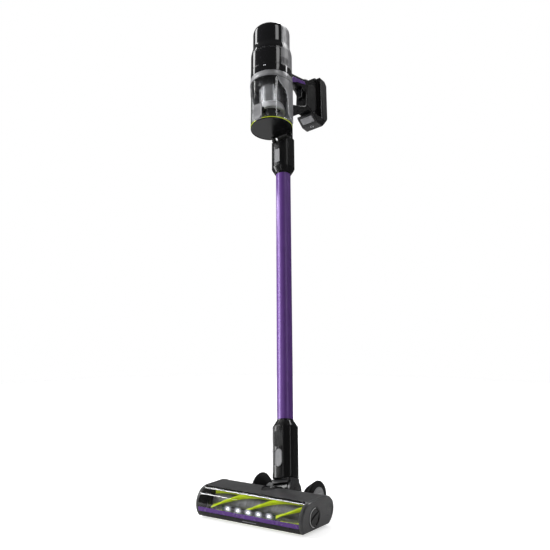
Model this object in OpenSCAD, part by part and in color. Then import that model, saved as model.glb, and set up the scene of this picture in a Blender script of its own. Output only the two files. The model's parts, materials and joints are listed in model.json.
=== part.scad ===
// Cordless stick vacuum: floor head, swivel neck, wand, and a handheld unit with a clear dust cup.
// Millimetres, +Z up. The origin is on the floor under the middle of the floor head, -Y is the front.

/* [Floor head] */
// Width across both end caps
head_w = 250; // [236:2:270]
// Height of the flat top above the floor
head_h = 61; // [61:1:64]
// Radius of the brush over its bristles
bristle_r = 26; // [24:0.5:26]
// Radius of the rear wheels
wheel_r = 35; // [30:1:35]

/* [Neck and wand] */
// Backward tilt of the wand from upright, in degrees
wand_pitch = 19; // [5:1:30]
// Sideways lean of the wand, in degrees
wand_lean = 13.5; // [0:0.5:20]
// Outer radius of the wand tube
tube_r = 17; // [15:0.5:17.5]
// Where the coloured part of the tube ends, measured from the neck pivot
wand_len = 732; // [500:1:800]

/* [Handheld unit] */
// Outer radius of the clear dust cup
cup_r = 49.5; // [48:0.5:49.5]
// Height of the dust cup, from door to top rim
cup_h = 117; // [110:1:117]
// Width of the handle
handle_w = 30; // [26:1:32]
// Width of the battery pack
battery_w = 48; // [44:1:50]

/* [Hidden] */
$fn = 64;
eps = 0.01;

// Floor head: axes are (Y, Z) pairs, seen from the right-hand end
cap_t = 8;
body_x = head_w / 2 - cap_t;
front_y = -38;
front_z = 27;
front_r = head_h - front_z;
wall = 2.5;
sole_z = 5;
brush_y = -28;
brush_z = 29;
core_r = 17;
chamber_r = 27.5;
chamber_t = 1.8;
core_x0 = -102;
core_x1 = body_x - 7;
strips = 4;
strip_t = 2.6;
strip_pitch = 300;
strip_len = core_x1 - core_x0 - 4;
window_y = -45;
window_z = 24.3;
strip_z = 15.6;
knob_r = 19;
led_step = 24;
led_z = 28;

// Brush drive, on the left-hand end
motor_y = 26;
motor_z = 34;
drive_motor_r = 13;
belt_x = -112;
belt_w = 6;
big_pulley_r = 12;
small_pulley_r = 5;
belt_t = 1.4;

// Wheels and rollers
wheel_x = 46;
wheel_y = 75;
axle_r = 4;
roller_r = 7;
roller_x = 96;
roller_y = 9;
run = 0.06;
screw_r = 1.6;
screw_y = 6.8;
recess_r = 11;
arm_x = 43.8;

// Neck: the pivot is where the fore-and-aft swivel axis crosses the tilt axis
neck_y = 65;
neck_z = 42;
drum_r = 22;
drum_x = 19;
cheek_x = 25.5;
spigot_r = 13;
socket_y0 = 14;
socket_y1 = 34;

// Lower connector, measured up the wand from the neck pivot
lower_z0 = 24;
lower_z1 = 131.5;
neck_top = 142.6;
conn_x = 24.5;
conn_y = 25;
tube_t = 1.5;
tube_z0 = 88;
lower_button_z = 64.5;
lower_button_r = 9;
button_t = 4.2;
button_travel = 3;

// Upper connector
upper_chamfer = 13;
upper_z1 = wand_len + upper_chamfer;
upper_top = wand_len + 90;
tube_top = wand_len + 60;
upper_button_z = wand_len + 37.5;

// Handheld unit: the cup axis is parallel to the wand, in front of it
cup_y = -46;
door_z = wand_len + 99;
cup_z = door_z + 5;
cup_top = door_z + cup_h + 5;
cup_t = 2.2;
cup_back = 39;
hinge_y = -3;
hinge_z = door_z - 2;
door_open = 42;
knuckle_gap = 1.3;
ring_z = cup_top + 0.4;
ring_h = 11;
band_h = 20;
band_z = ring_z + ring_h + 0.2;
cover_z = band_z + band_h + 0.2;
cover_h = 46;
upper_cover_z = cover_z + cover_h + 0.4;
barrel_r = 44.8;
barrel_top = upper_cover_z + 71;
seam_y = -16.5;
lower_seam_y = -22;
duct_x = 18;
duct_y0 = -6.5;
duct_y1 = 18;
duct_top = cup_top - 2;

// Handle, battery and controls, as heights from the door
grip_y0 = 79;
grip_y1 = 112;
dock_y = 133;
battery_y0 = 134;
battery_y1 = 167;
battery_z0 = door_z + 119;
battery_z1 = door_z + 239;
foot_z0 = door_z + 95;
inlet_r = 2.8;
handle_screw_yz = [[42, door_z + 90], [122, door_z + 130], [122, door_z + 222]];

// ---- Placing ----

// A (Y, Z) outline extruded from x0 to x1
module along_x(x0, x1) {
    translate([x0, 0, 0]) rotate([90, 0, 90]) linear_extrude(x1 - x0) children();
}

// A cylinder along X at (y, z)
module rod_x(x0, x1, y, z, r) {
    translate([x0, y, z]) rotate([0, 90, 0]) cylinder(h = x1 - x0, r = r);
}

// A cylinder along Y, in whatever frame it is drawn
module rod_y(y0, y1, x, z, r) {
    translate([x, y1, z]) rotate([90, 0, 0]) cylinder(h = y1 - y0, r = r);
}

// The frame of the neck drum: leaned about the fore-and-aft axis
module on_drum() {
    translate([0, neck_y, neck_z]) rotate([0, -wand_lean, 0]) children();
}

// The frame of the wand: +Z up the tube, -Y the front of the handheld unit
module on_wand() {
    on_drum() rotate([-wand_pitch, 0, 0]) children();
}

// The frame of the cup and motor barrel
module on_cup() {
    on_wand() translate([0, cup_y, 0]) children();
}

module box(x0, x1, y0, y1, z0, z1) {
    translate([x0, y0, z0]) cube([x1 - x0, y1 - y0, z1 - z0]);
}

module ring(r0, r1, z0, z1) {
    translate([0, 0, z0]) difference() {
        cylinder(h = z1 - z0, r = r1);
        translate([0, 0, -1]) cylinder(h = z1 - z0 + 2, r = r0);
    }
}

// ---- Floor head ----

// Side outline of the head, drawn in by d
module head_outline(d = 0) {
    intersection() {
        union() {
            translate([front_y, front_z]) circle(r = front_r - d, $fn = 96);
            polygon([[front_y, sole_z], [front_y, head_h - d], [13 - d / 3, head_h - d],
                [27 - d / 2, head_h - 3.2 - d], [36 - d * 0.7, head_h - 8.5 - d * 0.9],
                [41.5 - d * 0.9, head_h - 15 - d * 0.6], [44 - d, 38], [44 - d, 30],
                [41 - d, 20 + d / 3], [34 - d, 11 + d / 2], [26 - d, sole_z]]);
        }
        translate([-90, sole_z]) square([160, 80]);
    }
}

// The screws that hold the sole plate to the cover
module at_screws() {
    for (x = [-74, -38, 38, 74]) translate([x, screw_y, 0]) children();
}

// A curved strip of the head's front, between two radii and two heights
module front_band(r0, r1, z0, z1) {
    intersection() {
        difference() {
            translate([front_y, front_z]) circle(r = r1, $fn = 96);
            translate([front_y, front_z]) circle(r = r0, $fn = 96);
        }
        translate([-90, z0]) square([90 + window_y, z1 - z0]);
    }
}

// The bay in the back of the cover where the neck swings
module neck_bay() {
    box(-22, 22, 12.9, 60, 38, 80);
    box(-44, 44, 34.5, 60, 0, 80);
    box(-recess_r, recess_r, -8, 20, head_h - 8, 80);
    translate([0, -8, head_h - 8]) cylinder(h = 20, r = recess_r);
}

module wheel_wells() {
    for (side = [-1, 1])
        rod_x(side > 0 ? wheel_x - 1.5 : -80, side > 0 ? 80 : 1.5 - wheel_x,
            wheel_y, wheel_r, wheel_r + 3);
}

module head_cover() {
    color([0.16, 0.16, 0.17]) difference() {
        union() {
            along_x(-body_x, body_x) difference() {
                head_outline();
                head_outline(wall);
                translate([-90, 0]) square([90 + window_y + 0.2, 90]);
            }
            for (x = [-body_x, body_x - 2]) along_x(x, x + 2) difference() {
                head_outline(wall - 0.5);
                translate([-90, 0]) square([90 + window_y + 0.2, 90]);
            }
            at_screws() translate([0, 0, sole_z]) cylinder(h = head_h - wall - sole_z, r = 4);
        }
        at_screws() cylinder(h = 20, r = screw_r);
        neck_bay();
        wheel_wells();
        rod_x(body_x - 3, body_x + 1, brush_y, brush_z, 22);
    }
}

// Dark arch over the brush, open at the front and the bottom, with its own end plates
module brush_chamber() {
    color([0.05, 0.05, 0.055]) difference() {
        union() {
            along_x(core_x0 - 2.5, body_x - 2.2) intersection() {
                difference() {
                    translate([brush_y, brush_z]) circle(r = chamber_r + chamber_t, $fn = 96);
                    translate([brush_y, brush_z]) circle(r = chamber_r, $fn = 96);
                }
                translate([-42, sole_z + 0.2]) square([80, 80]);
            }
            along_x(core_x0 - 2.5, core_x0 - 0.5) intersection() {
                translate([brush_y, brush_z]) circle(r = chamber_r + 0.5, $fn = 96);
                translate([-60, sole_z + 0.2]) square([80, 80]);
            }
        }
        rod_x(core_x0 - 4, core_x0 + 1, brush_y, brush_z, 9);
        box(-15, 15, -8, 10, 22, 48);
    }
}

// Air socket that the neck swivels in
module neck_socket() {
    color([0.06, 0.06, 0.065]) difference() {
        union() {
            rod_y(5, socket_y1, 0, neck_z, 16.5);
            box(-arm_x, arm_x, 11.5, 20, 24, 36);
            for (side = [0, 1]) mirror([side, 0, 0]) box(35.5, arm_x, 11.5, wheel_y + 8, 27, 43);
        }
        rod_y(socket_y0, socket_y1 + 1, 0, neck_z, spigot_r + run);
        rod_y(0, socket_y0 + 1, 0, neck_z, 11.5);
        rod_x(-60, 60, wheel_y, wheel_r, axle_r);
        // the brush arch passes in front of the socket
        rod_x(-40, 40, brush_y, brush_z, chamber_r + chamber_t + 0.2);
    }
}

module sole_plate() {
    color([0.07, 0.07, 0.075]) difference() {
        union() {
            box(-body_x, body_x, -60, 28, 3, sole_z - 0.05);
            // soft-edged skid behind the brush opening, flat on the floor
            box(-80, 80, -1.2, 3, 0, 3.5);
            for (side = [-1, 1])
                box(side * roller_x - 12, side * roller_x + 12, roller_y - 5, roller_y + 5, 5, 12);
        }
        box(core_x0, core_x1 + 2, -55, -1.5, 0, 20);
        box(-44, 44, 20, 60, 0, 20);
        wheel_wells();
        for (side = [-1, 1]) {
            rod_x(side * roller_x - 7, side * roller_x + 7, roller_y, roller_r, roller_r + 1.5);
            rod_x(side * roller_x - 13, side * roller_x + 13, roller_y, roller_r, 1.5);
        }
        at_screws() cylinder(h = 10, r = screw_r);
        at_screws() cylinder(h = 4, r = 3);
    }
}

module window() {
    color([0.25, 0.25, 0.28, 0.45])
        along_x(-body_x, body_x) front_band(front_r - 2.4, front_r, window_z, head_h + 1);
}

module trim_strip() {
    color([0.3, 0.12, 0.5])
        along_x(-body_x, body_x) front_band(front_r - 2.4, front_r + 0.7, strip_z, window_z - 0.2);
}

module bumper() {
    color([0.04, 0.04, 0.045]) along_x(-body_x, body_x) {
        front_band(front_r - 3.4, front_r, sole_z, strip_z - 0.2);
        translate([-62, sole_z]) square([6, 2.5]);
    }
}

// End cap with a stepped rim
module end_cap() {
    difference() {
        union() {
            along_x(body_x + 0.1, body_x + 5.5) head_outline(-0.5);
            along_x(body_x + 5.5, body_x + cap_t) head_outline(1);
        }
        children();
    }
}

module end_cap_left() {
    color([0.13, 0.13, 0.14]) mirror([1, 0, 0]) end_cap() {
        box(0, body_x + 4, brush_y - 14, brush_y + 14, brush_z - 14, brush_z + 14);
    }
}

module end_cap_right() {
    color([0.13, 0.13, 0.14]) end_cap() {
        rod_x(body_x + 3, body_x + 20, brush_y, brush_z, knob_r + 0.4);
        rod_x(body_x - 5, body_x + 20, brush_y, brush_z, 8 + run);
    }
}

module led_board() {
    color([0.05, 0.25, 0.12]) box(-62, 62, -65.5, -64, led_z - 5, led_z + 5);
}

module led_lenses() {
    color([0.95, 0.97, 1]) for (i = [-2:2])
        rod_y(-68.3, -65.5, i * led_step, led_z, 2.6);
}

module brush_core() {
    color([0.09, 0.09, 0.1]) difference() {
        union() {
            rod_x(core_x0, core_x1, brush_y, brush_z, core_r);
            rod_x(belt_x - 1.5, core_x0, brush_y, brush_z, axle_r);
        }
        rod_x(core_x1 - 10, core_x1 + 1, brush_y, brush_z, 6 + run);
    }
}

// Bristle strips wound round the core
module brush_bristles() {
    color([0.6, 0.85, 0.05]) translate([core_x0 + 2, brush_y, brush_z]) rotate([90, 0, 90])
        linear_extrude(strip_len, twist = strip_len / strip_pitch * 360, slices = 40, $fn = 8)
            for (i = [0:strips - 1]) rotate(i * 360 / strips + 20)
                translate([core_r + 0.15, -strip_t / 2]) square([bristle_r - core_r - 0.15, strip_t]);
}

module brush_pulley() {
    color([0.3, 0.3, 0.32]) difference() {
        rod_x(belt_x, belt_x + belt_w + 1, brush_y, brush_z, big_pulley_r);
        rod_x(belt_x - 1, belt_x + belt_w + 2, brush_y, brush_z, axle_r);
    }
}

module brush_bearing() {
    color([0.6, 0.6, 0.62]) difference() {
        rod_x(core_x0 - 2.5, core_x0 - 0.5, brush_y, brush_z, 9);
        rod_x(core_x0 - 3, core_x0, brush_y, brush_z, axle_r + run);
    }
}

// Twist knob that holds the right-hand end of the brush
module release_knob() {
    color([0.12, 0.12, 0.13]) difference() {
        union() {
            rod_x(body_x + 3.3, body_x + cap_t + 0.8, brush_y, brush_z, knob_r);
            rod_x(body_x - 3, body_x + 3.4, brush_y, brush_z, 8);
            rod_x(core_x1 - 9, body_x - 2.9, brush_y, brush_z, 6);
        }
        rod_x(body_x + cap_t - 0.8, body_x + 12, brush_y, brush_z, knob_r - 3);
    }
    color([0.12, 0.12, 0.13])
        box(body_x + cap_t - 0.8, body_x + cap_t + 1, brush_y - 2.5, brush_y + 2.5,
            brush_z - 15.5, brush_z + 15.5);
}

module drive_motor() {
    color([0.55, 0.55, 0.57]) difference() {
        rod_x(belt_x + 10, -50, motor_y, motor_z, drive_motor_r);
        rod_x(belt_x + 9, belt_x + 24, motor_y, motor_z, 1.5 + run);
    }
}

module motor_pulley() {
    color([0.3, 0.3, 0.32]) {
        rod_x(belt_x, belt_x + belt_w + 1, motor_y, motor_z, small_pulley_r);
        rod_x(belt_x + belt_w + 1, belt_x + 22, motor_y, motor_z, 1.5);
    }
}

// Outline round both pulleys, grown by g
module belt_loop(g) {
    hull() {
        translate([brush_y, brush_z]) circle(r = big_pulley_r + g, $fn = 40);
        translate([motor_y, motor_z]) circle(r = small_pulley_r + g, $fn = 24);
    }
}

module drive_belt() {
    color([0.03, 0.03, 0.03]) along_x(belt_x + 0.5, belt_x + belt_w) difference() {
        belt_loop(0.3 + belt_t);
        belt_loop(0.3);
    }
}

// Tapered wheel, drawn along +X from its inner face at x = 0
module wheel_tyre() {
    color([0.05, 0.05, 0.05]) rotate([90, 0, 90]) rotate_extrude($fn = 72)
        polygon([[17, 0.5], [20.5, 0.5], [wheel_r - 2, 17], [wheel_r, 19.5], [wheel_r, 22],
            [wheel_r - 1.5, 24], [23, 24.6], [23, 19]]);
}

module wheel_hub() {
    color([0.45, 0.45, 0.47]) rotate([90, 0, 90]) rotate_extrude($fn = 72)
        polygon([[axle_r + run, 0.5], [16.9, 0.5], [22.9, 19], [22.9, 24.4], [20, 26.4],
            [13, 28], [8.5, 28], [8.5, 26.5], [axle_r + run, 26.5]]);
}

module right_wheel_place() {
    translate([wheel_x, wheel_y, wheel_r]) children();
}

module left_wheel_place() {
    mirror([1, 0, 0]) right_wheel_place() children();
}

module tyre_left() {
    left_wheel_place() wheel_tyre();
}

module hub_left() {
    left_wheel_place() wheel_hub();
}

module tyre_right() {
    right_wheel_place() wheel_tyre();
}

module hub_right() {
    right_wheel_place() wheel_hub();
}

// Steel pins of the wheels, with a retaining head outside, and of the small rollers
module wheel_axles() {
    color([0.7, 0.7, 0.72]) for (side = [0, 1]) mirror([side, 0, 0]) {
        rod_x(36, wheel_x + 27, wheel_y, wheel_r, axle_r);
        rod_x(wheel_x + 27, wheel_x + 28.5, wheel_y, wheel_r, 7);
        rod_x(roller_x - 12, roller_x + 12, roller_y, roller_r, 1.5);
    }
}

module sole_roller(side) {
    color([0.2, 0.2, 0.2]) difference() {
        rod_x(side * roller_x - 6, side * roller_x + 6, roller_y, roller_r, roller_r);
        rod_x(side * roller_x - 7, side * roller_x + 7, roller_y, roller_r, 1.5 + run);
    }
}

module sole_roller_left() {
    sole_roller(-1);
}

module sole_roller_right() {
    sole_roller(1);
}

// ---- Neck ----

// Hollow drum that swivels on its spigot and carries the tilt pivot
module neck_drum() {
    color([0.22, 0.22, 0.23]) on_drum() difference() {
        union() {
            rod_x(-drum_x, drum_x, 0, 0, drum_r);
            rod_y(socket_y0 + 1 - neck_y, 0, 0, 0, spigot_r);
        }
        rod_y(socket_y0 - neck_y, -8, 0, 0, 10);
        rod_x(-9, 9, 0, 0, 13);
        translate([-9, -6, 0]) cube([18, 24, drum_r + 5]);
        rod_x(-drum_x - 1, drum_x + 1, 0, 0, axle_r);
    }
}

module neck_pins() {
    color([0.7, 0.7, 0.72]) on_drum() for (side = [0, 1]) mirror([side, 0, 0])
        rod_x(9.2, cheek_x + 0.1, 0, 0, axle_r);
}

// ---- Connectors and wand ----

// Eight-sided outline shared by both connectors
module connector_outline() {
    polygon([[-11, -conn_y], [11, -conn_y], [conn_x, -13], [conn_x, 13], [14, 23], [-14, 23],
        [-conn_x, 13], [-conn_x, -13]]);
}

module stadium(w, h) {
    for (s = [-1, 1]) translate([0, s * (h - w) / 2]) circle(d = w);
    translate([-w / 2, -(h - w) / 2]) square([w, h - w]);
}

module soft_rect(w, h, r) {
    for (sx = [-1, 1], sy = [-1, 1]) translate([sx * (w / 2 - r), sy * (h / 2 - r)]) circle(r = r);
    square([w - 2 * r, h], center = true);
    square([w, h - 2 * r], center = true);
}

// A flat outline standing on the front face, from y0 to y1
module on_front(y0, y1, z) {
    translate([0, y1, z]) rotate([90, 0, 0]) linear_extrude(y1 - y0) children();
}

module lower_connector() {
    color([0.04, 0.04, 0.045]) on_wand() difference() {
        union() {
            intersection() {
                translate([0, 0, lower_z0]) linear_extrude(neck_top - lower_z0) connector_outline();
                union() {
                    translate([0, 0, lower_z0]) cylinder(h = lower_z1 - lower_z0, r = 40);
                    translate([0, 0, lower_z1]) cylinder(h = neck_top - lower_z1, r1 = 29, r2 = 19.5);
                }
            }
            // cheeks that straddle the drum
            for (side = [0, 1]) mirror([side, 0, 0]) {
                rod_x(drum_x + 0.4, cheek_x, 0, 0, 21);
                box(drum_x + 0.4, cheek_x, -13, 13, 0, lower_z0);
            }
            // apron over the front of the drum
            along_x(-drum_x - 0.5, drum_x + 0.5) difference() {
                polygon([[-conn_y, lower_z0 + 0.5], [-conn_y, spigot_r + 0.5], [-18, spigot_r + 0.5], [-6, 20],
                    [-6, lower_z0 + 0.5]]);
                circle(r = drum_r + 0.4);
            }
        }
        translate([0, 0, tube_z0 - 2]) cylinder(h = neck_top, r = tube_r + run);
        translate([0, 0, lower_z0 - 1]) cylinder(h = tube_z0, r = tube_r - 2);
        rod_x(-30, 30, 0, 0, axle_r + run);
        on_front(-conn_y - 1, -conn_y + 5.6, lower_button_z) stadium(2 * lower_button_r + 0.8, 36.8);
        on_front(-conn_y - 1, -conn_y + 0.8, 92) square([20, 58], center = true);
    }
}

module lower_button() {
    color([0.42, 0.42, 0.44]) on_wand()
        on_front(-conn_y - 1.8, -conn_y - 1.8 + button_t, lower_button_z)
            stadium(2 * lower_button_r, 36);
}

module wand_tube() {
    color([0.3, 0.12, 0.5]) on_wand() ring(tube_r - tube_t, tube_r, tube_z0, tube_top);
}

// Cuts away the front of a tube end along the plane where the open cup door stops
module door_relief(margin) {
    translate([0, hinge_y, hinge_z]) rotate([door_open + 2, 0, 0]) box(-60, 60, -90, 8, -margin, 90);
}

module upper_connector() {
    color([0.04, 0.04, 0.045]) on_wand() difference() {
        intersection() {
            translate([0, 0, wand_len]) linear_extrude(upper_top - wand_len) connector_outline();
            union() {
                translate([0, 0, wand_len]) cylinder(h = upper_chamfer, r1 = 19.5, r2 = 29);
                translate([0, 0, upper_z1]) cylinder(h = upper_top - upper_z1, r = 40);
            }
        }
        translate([0, 0, wand_len - 1]) cylinder(h = tube_top + 1 - wand_len, r = tube_r + eps);
        translate([0, 0, tube_top - eps]) cylinder(h = 80, r = tube_r + run);
        on_front(-conn_y - 1, -conn_y + 5.6, upper_button_z) soft_rect(16.8, 35.8, 3.4);
        door_relief(knuckle_gap);
    }
}

module upper_button() {
    color([0.5, 0.5, 0.52]) on_wand()
        on_front(-conn_y - 1.6, -conn_y - 1.6 + button_t, upper_button_z) soft_rect(16, 35, 3);
}

// ---- Handheld unit ----

// Nozzle that plugs into the wand, and the duct behind the cup
module inlet_duct() {
    color([0.1, 0.1, 0.11]) on_wand() difference() {
        union() {
            translate([0, 0, tube_top + 4]) cylinder(h = hinge_z - tube_top - 4, r = tube_r);
            translate([0, 0, upper_top + 0.6]) cylinder(h = hinge_z - upper_top, r = 20.5);
            box(-duct_x, duct_x, duct_y0, duct_y1, hinge_z - 6, duct_top);
        }
        difference() {
            translate([0, 0, tube_top + 3]) cylinder(h = 32, r = tube_r - 2);
            door_relief(knuckle_gap + 2);
        }
        box(-13, 13, 3, duct_y1 - 3, hinge_z - 10, duct_top - 6);
        for (x = [-30, 18.2]) rod_x(x, x + 11.8, hinge_y, hinge_z, 4.4);
        door_relief(knuckle_gap);
    }
}

// Outline of the cup, round with a flat back, drawn in by d
module cup_outline(d = 0) {
    intersection() {
        circle(r = cup_r - d, $fn = 96);
        translate([-60, -60]) square([120, 60 + cup_back - d]);
    }
}

module dust_cup() {
    color([0.8, 0.82, 0.85, 0.3]) on_cup() difference() {
        union() {
            translate([0, 0, cup_z]) linear_extrude(cup_top - cup_z) cup_outline();
            // ears of the door latch
            for (x = [-15, 12.5]) box(x, x + 2.5, -cup_r - 5, -cup_r + 4, door_z + 20, door_z + 30);
            // ears of the door hinge
            for (x = [-27.5, 23.5]) box(x, x + 4, 37, hinge_y - cup_y + 3.5, cup_z, cup_z + 8);
            for (x = [-27.5, 23.5]) box(x, x + 4, 39.2, hinge_y - cup_y + 3.5, hinge_z - 3.5, cup_z + 8);
        }
        translate([0, 0, cup_z - 1]) linear_extrude(cup_h + 5) cup_outline(cup_t);
        rod_x(-30, 30, hinge_y - cup_y, hinge_z, 1.8);
        rod_x(-20, 20, -cup_r - 3.2, door_z + 25, 1.2 + run);
    }
}

// Grey collar round the top and back of the cup, with a slanting lower edge
module cup_frame() {
    color([0.42, 0.42, 0.44]) on_cup() intersection() {
        difference() {
            translate([0, 0, cup_top - 60]) linear_extrude(60) intersection() {
                circle(r = cup_r + 1.6, $fn = 96);
                translate([-60, -60]) square([120, 60 + cup_back]);
            }
            translate([0, 0, cup_top - 61]) linear_extrude(62) cup_outline();
        }
        along_x(-60, 60) polygon([[-52, cup_top], [-52, cup_top - 3.5], [-30, cup_top - 3.5],
            [-27, cup_top - 18], [-21, cup_top - 27], [-10, cup_top - 33], [60, cup_top - 33],
            [60, cup_top]]);
    }
}

module shroud() {
    color([0.75, 0.75, 0.77]) on_cup() {
        ring(25, 28, door_z + 58, door_z + 108);
        ring(25, 33, door_z + 43, door_z + 58);
    }
}

module shroud_collar() {
    color([0.06, 0.06, 0.065]) on_cup() {
        ring(22, 36, door_z + 108, cup_top - 0.4);
        translate([0, 0, cup_top - 3]) linear_extrude(2.6) difference() {
            cup_outline(cup_t + 0.05);
            circle(r = 30);
        }
        difference() {
            translate([0, 0, door_z + 30]) cylinder(h = 78, r1 = 12, r2 = 24.6);
            translate([0, 0, door_z + 29]) cylinder(h = 80.2, r1 = 10, r2 = 22.6);
        }
    }
}

module cup_door() {
    color([0.03, 0.03, 0.035]) on_cup() difference() {
        union() {
            translate([0, 0, door_z]) linear_extrude(3.4) cup_outline(0.4);
            for (x = [-23.2, 18.6]) box(x, x + 4.6, 31, hinge_y - cup_y, hinge_z - 1, door_z + 3);
            for (x = [-23.2, 18.6]) rod_x(x, x + 4.6, hinge_y - cup_y, hinge_z, 3.4);
        }
        rod_x(-30, 30, hinge_y - cup_y, hinge_z, 1.8 + run);
    }
}

module door_seal() {
    color([0.6, 0.85, 0.05]) on_cup() translate([0, 0, door_z + 3.4]) linear_extrude(1.3)
        difference() {
            cup_outline(0.2);
            cup_outline(4.5);
        }
}

module hinge_pins() {
    color([0.7, 0.7, 0.72]) on_cup() for (side = [0, 1]) mirror([side, 0, 0])
        rod_x(18.6, 27.5, hinge_y - cup_y, hinge_z, 1.8);
}

// Rocking catch on the front of the cup
module door_latch() {
    color([0.3, 0.3, 0.31]) on_cup() {
        box(-12, 12, -cup_r - 6.8, -cup_r - 3, door_z + 5, door_z + 41);
        rod_x(-12, 12, -cup_r - 3.2, door_z + 25, 2.6);
        rod_x(-14.8, 14.8, -cup_r - 3.2, door_z + 25, 1.2);
        box(-8, 8, -cup_r - 6.8, -cup_r - 0.4, door_z + 1.2, door_z + 5.4);
    }
}

module trim_ring() {
    color([0.5, 0.5, 0.52]) on_cup() ring(41, cup_r + 1, ring_z, ring_z + ring_h);
}

module indicator_band() {
    color([0.08, 0.08, 0.085]) on_cup() ring(41, cup_r + 0.4, band_z, band_z + band_h);
}

// Solid of revolution of the motor barrel's outer wall
module barrel_solid(d = 0) {
    rotate_extrude($fn = 96) polygon([[0, cover_z - d], [cup_r - d, cover_z - d],
        [cup_r - d, cover_z + cover_h], [48.3 - d, cover_z + cover_h + 10], [barrel_r - d, cover_z + cover_h + 24],
        [barrel_r - d, barrel_top - 3], [43.5 - d, barrel_top + 4 - d / 2], [39 - d, barrel_top + 8 - d / 2],
        [20, barrel_top + 11 - d], [0, barrel_top + 12 - d]]);
}

// Glossy lower front cover
module front_cover() {
    color([0.02, 0.02, 0.022]) on_cup() intersection() {
        ring(42.2, cup_r, cover_z, cover_z + cover_h);
        box(-60, 60, -60, lower_seam_y, cover_z - 1, cover_z + cover_h + 1);
    }
}

// Matt grey back of the motor barrel
module rear_housing() {
    color([0.42, 0.42, 0.44]) on_cup() difference() {
        barrel_solid();
        barrel_solid(3);
        box(-60, 60, -60, lower_seam_y + 0.2, cover_z - 1, cover_z + cover_h + 0.2);
        box(-60, 60, -60, seam_y + 0.3, cover_z + cover_h + 0.2, barrel_top + 30);
    }
}

// Glossy upper cover over the exhaust filter
module filter_cover() {
    color([0.02, 0.02, 0.022]) on_cup() intersection() {
        difference() {
            barrel_solid(0.3);
            barrel_solid(3);
        }
        box(-60, 60, -60, seam_y, cover_z + cover_h + 0.6, barrel_top + 30);
    }
}

module exhaust_filter() {
    color([0.9, 0.9, 0.88]) on_cup() ring(14, 38, upper_cover_z + 42, barrel_top - 3);
}

module main_motor() {
    color([0.6, 0.6, 0.62]) on_cup() difference() {
        union() {
            translate([0, 0, cover_z + 22]) cylinder(h = 66, r = 32);
            translate([0, 0, cover_z + 20]) cylinder(h = 3, r = 42);
        }
        translate([0, 0, cover_z + 20]) cylinder(h = 30, r = 3 + run);
    }
}

// Fan on the motor shaft
module impeller() {
    color([0.8, 0.8, 0.8]) on_cup() {
        translate([0, 0, cover_z + 2]) cylinder(h = 46, r = 3);
        difference() {
            translate([0, 0, cover_z + 4]) cylinder(h = 4, r = 30);
            translate([0, 0, cover_z + 3]) cylinder(h = 6, r = 3);
        }
        for (i = [0:8]) rotate(i * 40) box(8, 29, -0.8, 0.8, cover_z + 8, cover_z + 18);
    }
}

module pre_filter() {
    color([0.2, 0.2, 0.22]) on_cup()
        translate([0, 0, ring_z + 1]) cylinder(h = ring_h + band_h - 4, r = 38);
}

// Side outline of the handle: arm, grip, battery dock and lower bridge, with heights from the door
module handle_outline() {
    translate([0, door_z]) polygon([[-8, 181], [24, 190], [70, 201], [92, 211], [118, 232],
        [dock_y - 0.5, 238], [dock_y - 0.5, 118], [90, 118], [duct_y1, 62], [duct_y1, 98], [56, 114],
        [grip_y0 - 4, 124], [grip_y0, 132], [grip_y0 + 3, 168], [grip_y0 - 8, 178], [40, 171],
        [duct_y1, 160], [-8, 160]]);
}

module handle_frame() {
    color([0.1, 0.1, 0.11]) on_wand() difference() {
        along_x(-handle_w / 2, handle_w / 2) handle_outline();
        translate([0, cup_y, 0]) barrel_solid();
        // slot for the trigger and well for the mode button
        box(-8, 8, 64, 90, door_z + 150, door_z + 184);
        translate([0, 98, door_z + 205]) cylinder(h = 30, r = 7 + run);
        for (p = handle_screw_yz) rod_x(handle_w / 2 - 14, handle_w / 2 + 1, p[0], p[1], screw_r);
        for (p = handle_screw_yz) rod_x(handle_w / 2 - 4, handle_w / 2 + 1, p[0], p[1], 3);
    }
}

// Coloured band on both flanks of the arm
module accent_band() {
    color([0.3, 0.12, 0.5]) on_wand() for (side = [0, 1]) mirror([side, 0, 0])
        along_x(handle_w / 2, handle_w / 2 + 1)
            polygon([[10, door_z + 163], [26, door_z + 182], [76, door_z + 194], [80, door_z + 188],
                [44, door_z + 176]]);
}

module trigger() {
    color([0.02, 0.02, 0.02]) on_wand()
        box(-7.6, 7.6, 70, 82, door_z + 151, door_z + 177);
}

module mode_button() {
    color([0.3, 0.3, 0.31]) on_wand() translate([0, 98, door_z + 209]) cylinder(h = 9, r = 7);
}

// L-shaped pack: a slab behind the dock and a foot under the grip
module battery_case() {
    color([0.35, 0.35, 0.37]) on_wand() difference() {
        along_x(-battery_w / 2, battery_w / 2)
            polygon([[battery_y0, battery_z1], [battery_y1 - 9, battery_z1], [battery_y1, battery_z1 - 9],
                [battery_y1, battery_z0 + 4], [battery_y1 - 25, foot_z0], [120, foot_z0],
                [98, foot_z0 + 16], [98, foot_z0 + 22], [battery_y0, foot_z0 + 22]]);
        along_x(-battery_w / 2 + 3, battery_w / 2 - 3)
            polygon([[battery_y0 + 3, battery_z1 - 3], [battery_y1 - 10, battery_z1 - 3],
                [battery_y1 - 3, battery_z1 - 10], [battery_y1 - 3, battery_z0 + 6],
                [battery_y1 - 26, foot_z0 + 4], [battery_y0 + 3, foot_z0 + 4]]);
        // charging inlet
        translate([0, 128, foot_z0 - 1]) cylinder(h = 10, r = inlet_r);
        // pocket of the release catch
        translate([0, 106.5, foot_z0 + 8.2]) rotate([-35.5, 0, 0]) box(-17.5, 17.5, -8.5, 8.5, -2, 5);
    }
}

module battery_cells() {
    color([0.2, 0.4, 0.6]) on_wand() for (sx = [-1, 1], z = [0, 1])
        translate([sx * 10, battery_y0 + 16.5, foot_z0 + 27 + z * 56]) cylinder(h = 55, r = 9);
}

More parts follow.
